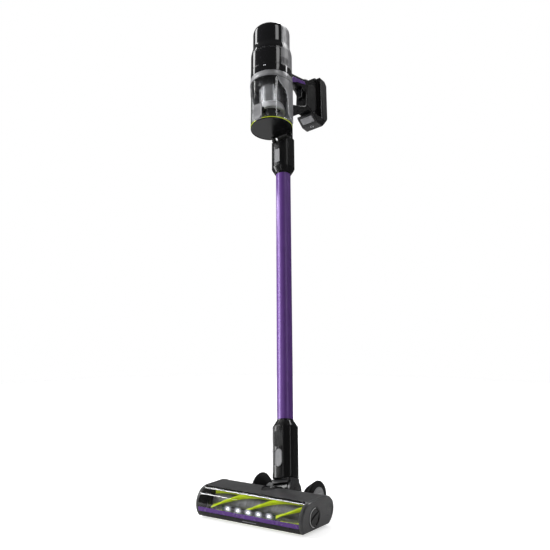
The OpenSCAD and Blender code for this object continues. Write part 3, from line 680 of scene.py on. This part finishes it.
def pulley(r, place, name, body, node):
    """A toothed pulley between two rims; the motor's carries its shaft."""
    lo, hi, edge, bore = -112, -105, .8, .01
    teeth = round(3 * r)
    ring = polar(lambda a: r - .35 * (1 + math.cos(a * teeth)), teeth * 6)
    parts = [loft([[(*p, z) for p in ring] for z in (lo + edge, hi - edge)])]
    parts += [spun([(bore, z), (r, z), (r, z + edge), (bore, z + edge)], 64, 6) for z in (lo, hi - edge)]
    if body == "drive_pulley":
        parts.append(rod(1.5, hi, -90, 24))
    piece(name, joined(*parts), place, body, GREY, node)


pulley(12, KNOB, "brush_pulley_toothed", "brush_roll", "brush_pulley")
MOTOR_AXIS = HEAD @ shift(0, 26, 34) @ turn(90, "Y")
pulley(5, MOTOR_AXIS, "motor_pulley_toothed", "drive_pulley", "motor_pulley")
CAN = [(1.57, -102), (5, -102), (5, -100.6), (13, -100.6, 1.5), (13, -50, 2), (0, -50), (0, -86), (1.57, -86)]
piece("drive_motor_can", spun(CAN, 64), MOTOR_AXIS, "floor_head", MOTOR, "drive_motor")
for node in ("brush_bearing", "drive_belt", "wheel_axles", "case_screws", "hinge_pins", "battery_cells",
             "handle_screws", "main_motor"):
    carry(node, .25)

# ---- Wheels ----


def wheel(side, name):
    """A tapered rear wheel with a ribbed tyre, and the small roller under the same end of the head."""
    place = HEAD @ shift(side * 46, WHEEL_Y, WHEEL_Z) @ turn(90 * side, "Y")
    tread = [(17, .5), (20.5, .5, 1)]
    for k in range(1, 5):
        r, x = 20.5 + 12.5 * k / 5, .5 + 16.5 * k / 5
        tread += [(r - .1, x - .5, .2), (r - .7, x, .3), (r + .1, x + .5, .2)]
    tread += [(33, 17, 1.5), (35, 19.6, 1.5), (35, 22, 1.5), (33.5, 24, 1), (23, 24.6), (23, 19)]
    piece(f"tyre_{name}_tread", spun(tread, 96, 4), place, f"wheel_{name}", TYRE, f"tyre_{name}")
    hub = [(4.06, .5), (16.9, .5), (22.9, 19), (22.9, 24.4, .6), (20, 26.4, 1), (18.5, 26.5, .4),
           (17.9, 25.6, .4), (16.5, 25.8, .4), (15.8, 26.9, .4), (13, 28, 1), (8.5, 28, .5), (8.5, 26.5),
           (4.06, 26.5)]
    # the hub is drawn in the lighter silver-grey look: partly its own light grey, partly painted light for
    # its lit face
    piece(f"hub_{name}_disc", spun(hub, 96, 4), place, f"wheel_{name}", RING, f"hub_{name}")
    spoke = rnd([(9.5, -1.1), (14.6, -1.5), (14.6, 1.5), (9.5, 1.1)], .4)
    spokes = [moved(prism(spoke, 27.2, 28.0, b=.25), turn(360 / 6 * i, "Z")) for i in range(6)]
    piece(f"hub_{name}_ribs", joined(*spokes), place, f"wheel_{name}", BUTTON)
    roller = [(1.56, -6), (7, -6, 1.2), (7, -1.4, .3), (6.5, -1, .3), (6.5, 1, .3), (7, 1.4, .3),
              (7, 6, 1.2), (1.56, 6)]
    piece(f"roller_{name}_soft", spun(roller, 64), HEAD @ shift(side * 96, 9, 7) @ turn(90, "Y"),
          f"roller_{name}", TYRE, f"sole_roller_{name}")


wheel(1, "right")
wheel(-1, "left")

# ---- Neck and connectors ----

DRUM_SHAPE = [(0, -19), (22, -19, 1.6), (22, -12, .4), (21.4, -11.5, .3), (21.4, 11.5, .3), (22, 12, .4),
              (22, 19, 1.6), (0, 19)]
drum = mesh_object("drum", spun(DRUM_SHAPE, 96, 4))
drum.data.transform(turn(90, "Y"))
boolean(drum, "UNION", moved(spun([(0, 0), (13, 0), (13, 50, 1), (0, 50)], 72, 6), turn(90, "X")))
boolean(drum, "DIFFERENCE", moved(rod(10, 8, 60, 48), turn(90, "X")),
        prism(circle(12.6, n=48), -9, 9, "x", 0), prism(rect(-9, 9, 2, 18, 1), 0, 27, b=0),
        moved(rod(4, -20, 20, 32), turn(90, "Y")))
piece("neck_drum_body", drum, DRUM, "neck", BLACK, "neck_drum", bevel=.3)
carry("neck_pins", .2)


def octagon(a):
    """Radius of the connectors' rounded eight-sided section at an angle."""
    c, s = math.cos(a), math.sin(a)
    squareness = 18
    walls = ((abs(c), 24.5), (max(-s, 0), 25.0), (max(s, 0), 23.0),
             (abs(c) * .664 + max(-s, 0) * .747, 26.0), (abs(c) * .69 + max(s, 0) * .724, 26.3))
    return 1 / sum(max(u / w, 1e-6) ** squareness for u, w in walls) ** (1 / squareness)


def connector(name, levels, lip_low, lip_high):
    """A connector's body through (height, greatest radius) levels, with a round lip at either end."""
    ends = [[(*p, z) for p in circle(r, n=128)]
            for r, z in ((lip_low, levels[0][0]), (lip_high, levels[-1][0]), (lip_high, levels[-1][0] - 4))]
    body = [[(*p, z) for p in polar(lambda a: min(octagon(a), limit), 128)] for z, limit in levels]
    return mesh_object(name, loft(ends[:1] + body + ends[1:]))


def side_grooves(lo, hi):
    return [moved(prism(rect(-15, 15, -3.0, -2.4, 0), lo, hi, b=0), shift(sx * 26.8, 0, 0) @ turn(90, "Z"))
            for sx in (-1, 1)]


low = connector("low", [(24, 23.5), (24.6, 25.5), (26, 40), (130.5, 40), (131.5, 29.2), (142.0, 19.9),
                        (142.6, 19.3)], 12, 17.08)
boolean(low, "DIFFERENCE", prism(pill(18.8, 36.8, 0, LOW_BUTTON), -26, -19.4, "y", 0),
        prism(rect(-9.5, 9.5, 88, 120, 3), -26, -24.3, "y", 0), *side_grooves(30, 126))
cheek = arc_line(21, 128, 412, 56) + [(12.93, 23.9), (-12.93, 23.9)]
apron = arc_line(22.4, 142, 118, 16) + arc_line(26.4, 115.5, 148, 16)
piece("neck_apron", prism(apron, -19.5, 19.5, "x", .3, 2), WAND, "lower_tube", CHARCOAL)
for sx, side in SIDES:
    span, rims = ((19.4, 25.5), (1.6, 4, .5)) if sx > 0 else ((-25.5, -19.4), (.5, 4, 1.6))
    fork = mesh_object("fork", prism(cheek, *span, "x", *rims))
    boolean(fork, "DIFFERENCE", prism(circle(4.06, n=40), -30, 30, "x", 0))
    piece(f"fork_{side}", fork, WAND, "lower_tube", CHARCOAL)
piece("lower_connector_body", low, WAND, "lower_tube", BLACK, "lower_connector", bevel=.4)
PIVOT_CAP = rnd([(0, 25.3), (7.5, 25.3), (7.5, 26.2, .4), (6, 26.5, .4), (0, 26.5)], 0, 3)
for sx, side in SIDES:
    piece(f"pivot_cap_{side}", lathe(PIVOT_CAP, 48), WAND @ turn(90 * sx, "Y"), "lower_tube", CHARCOAL)


def ridged(name, outline, y0, y1, zc, body, node):
    """A push button with three grooves across it."""
    o = mesh_object(name, prism(outline, y0, y1, "y", .6, 4, 1.1))
    boolean(o, "DIFFERENCE", *[prism(rect(-5.5, 5.5, zc + z - .45, zc + z + .45, .4), y0 - 1, y0 + .5, "y",
                                     0) for z in (-3, 0, 3)])
    piece(name, o, WAND, body, BUTTON, node, bevel=.15)


ridged("lower_button_cap", pill(18, 36, 0, LOW_BUTTON), -26.8, -22.6, LOW_BUTTON, "lower_release",
       "lower_button")
ridged("upper_button_cap", rect(-8, 8, 752, 787, 3), -26.6, -22.4, HIGH_BUTTON, "upper_release",
       "upper_button")

TUBE_R = 17
tube = spun([(15.5, 88), (TUBE_R, 88, .4), (TUBE_R, 792, .4), (15.5, 792)], 128)
piece("wand_tube_body", tube, WAND, "wand", PURPLE, "wand_tube")
for end, z0, z1 in (("low", 143.2, 146.4), ("high", 728.8, 731.6)):
    ring = rnd([(17.03, z0), (17.9, z0, .3), (17.9, z1, .3), (17.03, z1)], 0, 3)
    piece(f"wand_ring_{end}", lathe(ring, 96), WAND, "wand", BLACK)

up = connector("up", [(732, 19.3), (732.6, 19.9), (744, 29.2), (745, 40), (820.5, 40), (822, 40)], 17.01,
               17.1)
# room for the open door: a slope cut from the connector and the duct
RELIEF = shift(0, HINGE_Y, HINGE_Z) @ turn(44, "X")
boolean(up, "DIFFERENCE", prism(rect(-8.4, 8.4, 751.6, 787.4, 3.4), -26, -19.1, "y", 0),
        moved(prism(rect(-60, 60, -90, 8, 0), -1.3, 90, b=0), RELIEF), *side_grooves(748, 818))
piece("upper_connector_body", up, WAND, "wand", BLACK, "upper_connector", bevel=.4)

# ---- Handheld unit ----

duct = mesh_object("duct", prism(rect(-18, 18, -6.5, 18, 4), 823, 951, b=1))
NOZZLE = [(0, 796), (17, 796, 1), (17, 822.6), (20.5, 822.6, .8), (20.5, 829, .5), (0, 829)]
HINGE_HOLE = circle(4.4, HINGE_Y, HINGE_Z, 40)
boolean(duct, "UNION", spun(NOZZLE, 96))
boolean(duct, "DIFFERENCE", prism(HINGE_HOLE, 18.2, 30, "x", 0), prism(HINGE_HOLE, -30, -18.2, "x", 0),
        prism(circle(15), 790, 808, b=0), moved(prism(rect(-60, 60, -90, 8, 0), -2.1, 90, b=0), RELIEF))
piece("inlet_duct_body", duct, WAND, "handheld", BLACK, "inlet_duct", bevel=.5)

RING_SHAPE = [(41, 953.5), (50.2, 953.5, .8), (50.5, 955.2, .6), (50.5, 962.8, .6), (50.2, 964.4, .8),
              (41, 964.4)]
piece("trim_ring_body", spun(RING_SHAPE, 128, 4), CUP, "handheld", RING, "trim_ring")
BAND_SHAPE = [(41, 964.7), (49.9, 964.7, .6), (49.9, 984.5, .8), (41, 984.5)]
piece("indicator_band_body", spun(BAND_SHAPE, 128, 4), CUP, "handheld", GLOSS, "indicator_band")
DOT_SHAPE = [(0, 49.75), (.65, 49.75), (.65, 50.02, .1), (0, 50.05)]
for i, a in enumerate((-76, -71.5)):
    piece(f"indicator_dot_{i}", spun(DOT_SHAPE, 20, 2),
          CUP @ shift(0, 0, 979) @ turn(a, "Z") @ turn(90, "Y"), "handheld", DOT)

# foot and shoulder of the motor barrel, and where its top cap begins
CZ, CT, CAP_Z = 984.8, 1030.8, 1097
BARREL = [(49.5, CZ), (49.5, CT - 1), (49.35, CT + 3), (48.3, CT + 10), (46.4, CT + 17), (45.0, CT + 24),
          (44.8, CT + 30), (44.8, 1096)]
BARREL = spline(BARREL, 4) + spline([(44.7, 1099.2), (43.0, 1105.4), (38.9, 1110.0), (30, 1112.2),
                                     (20, 1113.0), (8, 1113.9), (0, 1114.1)], 5)


def barrel(wall, d=0.0):
    """The motor barrel's shell, with the given wall, drawn in by d."""
    out = [(max(r - d, 0), z - d * (z > CAP_Z)) for r, z in BARREL]
    out[0] = (out[0][0], CZ)
    inn = [(max(r - wall, 0), z - wall * (z > CAP_Z)) for r, z in BARREL]
    return out + inn[::-1]


def seam(y, x_top, z0, z1, r):
    """A block in front of y, with rounded lower corners."""
    return prism(rnd([(-x_top, z0, r), (x_top, z0, r), (x_top, z1, 0), (-x_top, z1, 0)], 0, 8), -70, y, "y",
                 0)


rear = mesh_object("rear", lathe(barrel(3), 128))
boolean(rear, "DIFFERENCE", seam(-16.2, 46.6, 1031.2, 1150, 7), seam(-21.8, 60, 970, 1031.0, 0))
vents = []
for side in (-1, 1):
    for k in range(5):
        vents.append(moved(prism(rect(-1.1, 1.1, 989, 1007, 1.0), 44, 56, "y", 0),
                           turn(180 + side * (66 + 5.4 * k), "Z")))
for k in range(-5, 6):
    vents.append(moved(prism(rect(-1.3, 1.3, 1046, 1082, 1.2), 40, 56, "y", 0), turn(k * 8.5, "Z")))
boolean(rear, "DIFFERENCE", joined(*vents))
piece("rear_housing_shell", rear, CUP, "handheld", GREY, "rear_housing", bevel=.35)
# a thin black sheet just inside the rear housing, behind its vents: painted shade that keeps the vents dark
piece("rear_housing_vent_shade", lathe([(46.2, 986), (46.4, 986), (46.4, 1029), (44.9, 1040), (41.9, 1052),
                                    (41.5, 1060), (41.5, 1092), (41.3, 1092), (41.3, 1060), (41.7, 1052),
                                    (44.7, 1040), (46.2, 1029)], 72, (-27, 207)),
      CUP, "handheld", BLACK)
top = mesh_object("top", lathe(barrel(2.6, .15), 128))
boolean(top, "INTERSECT", seam(-16.6, 46.2, 1031.5, 1150, 7))
piece("upper_cover_shell", top, CUP, "rear_cap", GLOSS, "filter_cover", bevel=.5)
FRONT = [(42.4, CZ + .1), (49.5, CZ + .1, .6), (49.5, CT - .1, .6), (42.4, CT - .1)]
front = mesh_object("front", spun(FRONT, 128))
boolean(front, "INTERSECT", seam(-22.1, 60, 970, 1050, 0))
piece("lower_cover_shell", front, CUP, "handheld", GLOSS, "front_cover", bevel=.4)
# small silver bumps along the upper cover's seams: painted highlights for the bright glints at the seam
seam_glints = [spun([(44.5, z), (45.25, z + .5, .3), (45.25, z + 3.1, .3), (44.5, z + 3.6)], 6, 2,
              (a - 2.4, a + 2.4)) for z in range(1048, 1096, 4) for a in (-16, 196)]
piece("upper_cover_seam_glints", joined(*seam_glints), CUP, "handheld", RING)

# pleated exhaust filter, foam pre-filter and fan
pleats = [[(*p, z) for p in polar(lambda a: 37.4 + .6 * math.cos(60 * a), 480)] for z in (1074, 1096)]
rims = [lathe(rnd([(14, z0), (38, z0), (38, z1), (14, z1)], .3, 2), 72)
        for z0, z1 in ((1073.2, 1074.6), (1095.6, 1097.2))]
piece("exhaust_filter_pleats", joined(loft(pleats), *rims), CUP, "handheld", MEDIA, "exhaust_filter")
piece("pre_filter_foam", spun([(0, 954.6), (38, 954.6, 2), (38, 981.2, 2), (0, 981.2)], 72, 4),
      CUP, "handheld", FOAM, "pre_filter")
arc = [(8 + 21 * j / 8, math.radians(14 * j / 8)) for j in range(9)]
line = [(r * math.cos(a), r * math.sin(a)) for r, a in arc]
BLADE = [(x, y - .5) for x, y in line] + [(x, y + .5) for x, y in line[::-1]]
blades = [moved(prism(BLADE, 992.6, 1002.8, b=.2, n=1), turn(360 / 9 * i, "Z")) for i in range(9)]
DISC = [(0, 986.8), (3, 986.8), (3, 988.8), (30, 988.8, .8), (30, 992.8, .8), (8, 992.8), (3, 1002),
        (3, 1032.8), (0, 1032.8)]
piece("impeller_wheel", joined(spun(DISC, 72), *blades), CUP, "fan", WHITE, "impeller")

# ---- Handle ----

HANDLE = [(-8, 181, 0), (24, 190, 8), (70, 201, 14), (92, 211, 14), (118, 232, 10), (132.5, 238, 5),
          (132.5, 118, 3), (90, 118, 8), (18, 62, 3), (18, 98, 5), (56, 114, 14),
          (75, 124, 7), (79, 132, 7), (82, 168, 7), (71, 178, 7), (40, 171, 12), (18, 160, 5), (-8, 160, 0)]
HANDLE = rnd([(y, DOOR + z, r) for y, z, r in HANDLE], 0, 7)
handle = mesh_object("handle", prism(HANDLE, -15, 15, "x", 2.6, 5))
clearance = [(0, 953.6), (50.6, 953.6), (50.6, 964.5), (50.0, 964.5), (50.0, 984.7), (49.6, 984.8),
             (49.6, 1031)] + [(r + .1, z) for r, z in BARREL[9:]]
boolean(handle, "DIFFERENCE", moved(lathe(clearance, 128), shift(0, CUP_Y, 0)),
        prism(rect(-8, 8, 64, 90, 2), DOOR + 150, DOOR + 184, b=0),
        prism(circle(7.1, 0, 98, 40), DOOR + 205, DOOR + 240, b=0))
screws = [(42, DOOR + 90), (122, DOOR + 130), (122, DOOR + 222)]
boolean(handle, "DIFFERENCE", *[prism(circle(3.2, y, z, 28), 11, 16, "x", 0) for y, z in screws])
piece("handle_body", handle, WAND, "handheld", BLACK, "handle_frame", bevel=.3)
PATCH = rnd([(84, DOOR + 130), (112, DOOR + 126), (124, DOOR + 140), (124, DOOR + 205), (112, DOOR + 205),
             (90, DOOR + 190), (87, DOOR + 168)], 7, 6)
for sx, side in SIDES:
    piece(f"grip_patch_{side}", prism(PATCH, 14.9, 15.4, "x", .3, 2), WAND if sx > 0 else WAND @ MIRROR,
          "handheld", TYRE)
top_line = [(26, 190.8), (70, 201.4), (91, 211), (116, 231.4), (128, 236.6)]
ridge = rnd([(y, DOOR + z) for y, z in top_line] + [(y, DOOR + z - 6) for y, z in top_line[::-1]], 1.2, 3)
piece("handle_top_cover", prism(ridge, -12.4, 12.4, "x", .8, 3), WAND, "handheld", GREY)
ACCENT = rnd([(9, DOOR + 164.5), (26, DOOR + 183.2), (74, DOOR + 194.6), (80, DOOR + 188.6),
              (44, DOOR + 176), (20, DOOR + 163)], 2.5, 5)
BARREL_BELOW = [(0, 953), (50.8, 953), (50.8, 1031), (48.6, 1042), (45.4, 1056), (45.4, 1080), (0, 1080)]
for sx, side in SIDES:
    acc = mesh_object("acc", prism(ACCENT, 12.5, 15.9, "x", .5, 3))
    boolean(acc, "DIFFERENCE", moved(lathe(BARREL_BELOW, 96), shift(0, CUP_Y, 0)))
    piece(f"accent_{side}", acc, WAND if sx > 0 else WAND @ MIRROR, "handheld", VIOLET,
          "accent_band" if sx > 0 else None, bevel=.2)
TRIG = rnd([(70.5, 981.6), (82, 981.6), (82, 1008), (71, 1008), (72.4, 1001), (71.6, 991)], 1.6, 4)
trig = mesh_object("trig", prism(TRIG, -7.6, 7.6, "x", 1.6, 4))
piece("trigger_lever", trig, WAND, "power_trigger", GLOSS, "trigger", bevel=.2)
piece("mode_button_cap", joined(prism(circle(7, 0, 98, 56), DOOR + 209, DOOR + 218, b=1.0, n=4, b0=.3),
                                prism(circle(3.4, 0, 98, 40), DOOR + 217.9, DOOR + 218.0, b=.05, n=1)),
      WAND, "mode_key", BUTTON, "mode_button")

# ---- Dust cup ----


CUP_R, CUP_BACK = 49.5, 39.0


def cup_r(a, d=0.0, back=CUP_BACK):
    """Radius of the cup by angle, drawn in by d: round, with a flat back."""
    s = math.sin(a)
    r = CUP_R - d
    return r if s * r < back - d else min(r, (back - d) / s)


# (height, how far the outer and the inner wall are drawn in)
CUP_WALL = ((836.0, .5, 1.9), (836.8, 0, 2.2), (838.5, 0, 2.4), (839.4, .5, 2.4), (951.0, .5, 2.4),
            (952.4, .3, 2.3), (953.0, .6, 1.9))
outside = {z: d for z, d, _ in CUP_WALL}
inside = {z: d for z, _, d in CUP_WALL}
cup = band(lambda a, z: cup_r(a, outside[z]), lambda a, z: cup_r(a, inside[z]), list(outside), 144)
EAR = rnd([(37, DOOR + 5), (43, DOOR + 5), (46.5, DOOR + 2), (46.5, DOOR - 5.3), (39.4, DOOR - 5.3),
           (39.4, DOOR + 4)], .8, 3)
LUG = rnd([(-54.4, DOOR + 20.2), (-48, DOOR + 20.2), (-48, DOOR + 29.8), (-54.4, DOOR + 29.8)], 1.5, 3)
ears = [prism(EAR, x, x + 4, "x", .4, 2) for x in (-27.5, 23.5)]
lugs = [prism(LUG, x, x + 2.5, "x", .4, 2) for x in (-15, 12.5)]
piece("dust_cup_wall", cup, CUP, "cup", CLEAR, "dust_cup").visible_shadow = False
piece("dust_cup_lugs", joined(*ears, *lugs), CUP, "cup", BLACK)


def frame_low(y):
    """Lower edge of the cup's collar, which runs down towards the back."""
    line = [(-52, 949.5), (-30, 949.5), (-27, 935), (-21, 926), (-12, 918), (-5, 905), (-3, 885), (-2, 850),
            (60, 850)]
    for (y0, z0), (y1, z1) in zip(line, line[1:]):
        if y <= y1:
            return z0 + (z1 - z0) * (y - y0) / (y1 - y0)
    return line[-1][1]


rings = []
for d, level in ((1.1, 0), (1.6, 1), (1.6, 2), (1.2, 3), (.04, 3), (.04, 0)):
    ring = []
    for a in [TAU * i / 192 for i in range(192)]:
        r = cup_r(a, -d, CUP_BACK - d + .02)
        x, y = r * math.cos(a), r * math.sin(a)
        ring.append((x, y, (frame_low(y), frame_low(y) + .6, 952.4, 952.95)[level]))
    rings.append(ring)
piece("cup_frame_collar", loft(rings, closed=True), CUP, "cup", GREY, "cup_frame")
piece("cup_frame_lip", band(lambda a, z: cup_r(a, -1.75, 38.9), lambda a, z: cup_r(a, -1.5, 38.7),
                            [947.2, 948.2], 144), CUP, "cup", BLACK)

piece("shroud_screen", lathe(rnd([(25, 889), (28, 889), (28, 939), (25, 939)], .3, 2), 128), CUP, "cup",
      SHROUD, "shroud")
ribs = [moved(prism(rect(27.6, 28.35, -1.2, 1.2, .3), 890, 938.6, b=.2, n=1), turn(45 + 90 * i, "Z"))
        for i in range(4)]
foot_ring = lathe(rnd([(27.5, 889), (28.9, 889), (28.9, 892.4), (27.5, 892.4)], .4, 3), 96)
piece("shroud_ribs", joined(*ribs, foot_ring), CUP, "cup", FLANGE)
SKIRT = [(25, 874, .4), (32.6, 874.4, .5), (33, 876.5, .8), (31.4, 886, 2), (28.2, 889, .5), (25, 889)]
piece("shroud_skirt", spun(SKIRT, 128, 4), CUP, "cup", FLANGE)
COLLAR = [(22, 939), (34, 939, 1), (36, 942, 1), (36, 949.8), (47, 950), (47, 952.6), (22, 952.6)]
CONE = [(10, 861), (12, 861, .5), (24.6, 939), (22.6, 939)]
piece("shroud_collar_body", joined(spun(COLLAR, 128), spun(CONE, 96)), CUP, "cup",
      BLACK, "shroud_collar")

door_out = polar(lambda a: cup_r(a, .4), 144)
door = mesh_object("door", prism(door_out, DOOR, DOOR + 3.4, b=.4, n=3, b0=1.2))
boolean(door, "DIFFERENCE", *[lathe([(r, DOOR - 1), (r + 1, DOOR - 1), (r + 1, DOOR + .35),
                                     (r, DOOR + .35)], 96) for r in (30, 36)])
KNUCKLE = rnd([(31, 830), (43, 825.6), (46.4, 827), (46.4, 831), (43, 832.4), (40, 834), (31, 834)], .8, 4)
for x in (-23.2, 18.6):
    boolean(door, "UNION", prism(KNUCKLE, x, x + 4.6, "x", .4, 2))
piece("door_panel", door, CUP, "door", BLACK, "cup_door", bevel=.2)
seal = band(lambda a, z: cup_r(a, .2 if 834.6 < z < 835.5 else .45), lambda a, z: cup_r(a, 4.4),
            [834.4, 834.8, 835.3, 835.7], 144)
piece("door_seal_lip", seal, CUP, "door", LIME, "door_seal")

LATCH = rnd([(-56.2, DOOR + 1.4), (-50, DOOR + 1.4), (-50, DOOR + 5.2), (-52.6, DOOR + 6),
             (-52.6, DOOR + 41), (-55.4, DOOR + 41), (-56.2, DOOR + 36)], .9, 4)
latch = mesh_object("latch", prism(LATCH, -8, 8, "x", .8, 3))
WINGS = rnd([(-56.2, DOOR + 5.6), (-52.6, DOOR + 5.6), (-52.6, DOOR + 40.9), (-55.2, DOOR + 40.9),
             (-56.2, DOOR + 36)], .9, 4)
boolean(latch, "UNION", prism(WINGS, -12, 12, "x", 1.0, 3),
        prism(circle(2.6, -52.7, DOOR + 25, 40), -11.9, 11.9, "x", .3, 2),
        prism(circle(1.2, -52.7, DOOR + 25, 20), -14.8, 14.8, "x", .1, 1))
piece("latch_tab", latch, CUP, "door_catch", BUTTON, "door_latch", bevel=.2)
pips = [prism(circle(.75, -8.4 + 2.4 * i + (1.2 if j % 2 else 0), DOOR + 10 + 2.3 * j, 8), -56.55, -56.0,
              "y", .2, 2) for i in range(7) for j in range(11)]
piece("latch_grip", joined(*pips), CUP, "door_catch", BUTTON)
# a silver strip down the latch's right edge: a painted highlight
piece("latch_edge_glint", prism(rect(10.2, 12.0, DOOR + 8, DOOR + 38, .8), -56.5, -56.0, "y", .2, 2), CUP,
      "door_catch", RING)

# ---- Battery ----

SLAB = rnd([(134, 1070, 3), (134, 946, 0), (144, 929.5, 3), (158, 945, 8), (167, 957, 9), (167, 1059, 9),
            (157, 1070, 9)], 0, 7)
FOOT = rnd([(98, 948, 2), (98, 942, 2), (120, 926, 6), (142, 926, 7), (154, 940, 6), (157, 948, 1)], 0, 6)
piece("battery_slab", prism(SLAB, -24, 24, "x", 5, 6), WAND, "battery", BATTERY, "battery_case")
foot = mesh_object("foot", prism(FOOT, -24, 24, "x", 4, 6))
PANEL = shift(0, 106.5, 934.2) @ turn(-35.5, "X")
boolean(foot, "DIFFERENCE", moved(prism(rect(-17.5, 17.5, -8.5, 8.5, 1.5), -4, 4.6, b=0), PANEL),
        prism(circle(2.8, 0, 128, 28), 920, 935, b=0))
piece("battery_foot", foot, WAND, "battery", BLACK, bevel=.3)
release = mesh_object("release", prism(rect(-17, 17, -8, 8, 1.4), -1.6, 2, b=.3, n=2, b0=.7))
boolean(release, "DIFFERENCE", *[prism(rect(-14, 14, y - .45, y + .45, .4), -3, -1.0, b=0)
                                 for y in (-5.4, -3.6, -1.8, 0, 1.8, 3.6, 5.4)])
piece("release_panel", release, WAND @ PANEL, "battery_catch", GREY, "battery_release", bevel=.15)
seam_line = prism(rect(134.0, 134.5, 952, 1068, .1), -24.12, 24.12, "x", .05, 1)
piece("battery_seam", seam_line, WAND, "battery", GLOSS)
for i in range(3):
    piece(f"charge_light_{i}", prism(pill(2.2, 7, -5 + 5 * i, 1040), 166.8, 167.1, "y", .1, 2), WAND,
          "battery", WHITE)
for i in range(6):
    z = 972 + 5 * i
    piece(f"battery_rib_{i}", prism(rect(-16, 16, z, z + 1.6, .7), 166.4, 167.3, "y", .3, 2), WAND,
          "battery", BATTERY)
piece("inlet_ring", spun([(2.85, 925.6), (4.2, 925.6, .3), (4.2, 926.4), (2.85, 926.4)], 40),
      WAND @ shift(0, 128, 0), "battery", STEEL)

# ---- Whatever is left keeps its CAD shape, with softened edges ----

done = {n for o in scene.objects for n in list(o.get("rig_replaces", []))}
for node in frame["nodes"]:
    if node not in done:
        carry(node, .2)

# ---- Floor, light and camera ----

FLOOR_R, FLOOR_SHADE, FLOOR_GLOW = 2.4, .8, .6
floor = mesh_object("floor", build([(x, y, 0) for x, y in circle(FLOOR_R)], [tuple(range(64))]))
floor_look = bpy.data.materials.new("floor_look")
floor_look.use_nodes = True
t = floor_look.node_tree
settings(t.nodes[SHADER], Base_Color=(*[FLOOR_SHADE] * 3, 1), Roughness=.8, Emission_Color=(1, 1, 1, 1))
to_eye = t.nodes.new("ShaderNodeLightPath").outputs["Is Camera Ray"]
t.links.new(maths(t, "MULTIPLY", to_eye, FLOOR_GLOW), t.nodes[SHADER].inputs["Emission Strength"])
floor.data.materials.append(floor_look)

# the room is white to the eye, also through the clear cup, and dim in reflections
world = bpy.data.worlds.new("studio")
scene.world = world
world.use_nodes = True
t = world.node_tree
ray = t.nodes.new("ShaderNodeLightPath").outputs
straight = maths(t, "MULTIPLY", maths(t, "LESS_THAN", ray["Glossy Depth"], .5),
                 maths(t, "LESS_THAN", ray["Diffuse Depth"], .5))
seen = maths(t, "MAXIMUM", ray["Is Camera Ray"],
             maths(t, "MULTIPLY", ray["Is Transmission Ray"], straight))
level = t.nodes.new("ShaderNodeMapRange")
settings(level, To_Min=.10, To_Max=1.0)
t.links.new(seen, level.inputs["Value"])
settings(t.nodes["Background"], Color=(1, 1, 1, 1))
t.links.new(level.outputs["Result"], t.nodes["Background"].inputs["Strength"])


def light(name, at, aim, w, h, power):
    """A lamp of w by h metres at one point, turned to another; power in watts."""
    d = bpy.data.lights.new(name, "AREA")
    d.shape = "RECTANGLE"
    d.size, d.size_y, d.energy = w, h, power
    o = bpy.data.objects.new(name, d)
    o.location = at
    o.rotation_euler = (Vector(aim) - Vector(at)).to_track_quat("-Z", "Y").to_euler()
    scene.collection.objects.link(o)


light("back", (.0, 2.0, 2.5), (-.05, .1, .2), 2.6, .6, 46)
light("window_line", (-.476, .245, .704), (-.476, -.045, .06), .40, .07, 1.3)
light("cover_left", (-2.0, .4, 1.98), (-.2, .37, 1.05), .45, .6, 3.4)
light("cover_right", (.9, .3, 2.7), (-.2, .37, 1.05), .5, .5, 2.2)
light("left_strip", (-1.75, -.85, 1.0), (-.1, .1, .9), .7, 1.9, 52)
light("right_strip", (1.95, -.35, 1.9), (-.05, .1, 1.0), .22, 3.0, 11)
light("front_strip", (-.15, -2.5, 1.2), (-.05, .1, .6), .10, 2.4, 7)

PHOTO_SIZE = 550                      # pixels
FOCAL, CENTRE_X = 902.27, 267.77      # pixels, from the camera fit
SENSOR = 36
CAMERA_AT, AZIMUTH, TILT = (.99442, -1.46897, .49389), 34.096, .41

cam_data = bpy.data.cameras.new("camera")
cam = bpy.data.objects.new("camera", cam_data)
scene.collection.objects.link(cam)
scene.camera = cam
cam.location = CAMERA_AT
cam.rotation_euler = (math.radians(90) - math.radians(TILT), 0, math.radians(AZIMUTH))
cam_data.sensor_width = SENSOR
cam_data.lens = FOCAL / PHOTO_SIZE * SENSOR
cam_data.shift_x = (PHOTO_SIZE / 2 - CENTRE_X) / PHOTO_SIZE
cam_data.clip_start, cam_data.clip_end = .05, 100

scene.view_settings.view_transform = "Standard"
scene.cycles.max_bounces = 16
scene.cycles.transmission_bounces = 14
scene.cycles.transparent_max_bounces = 16
scene.cycles.caustics_refractive = True
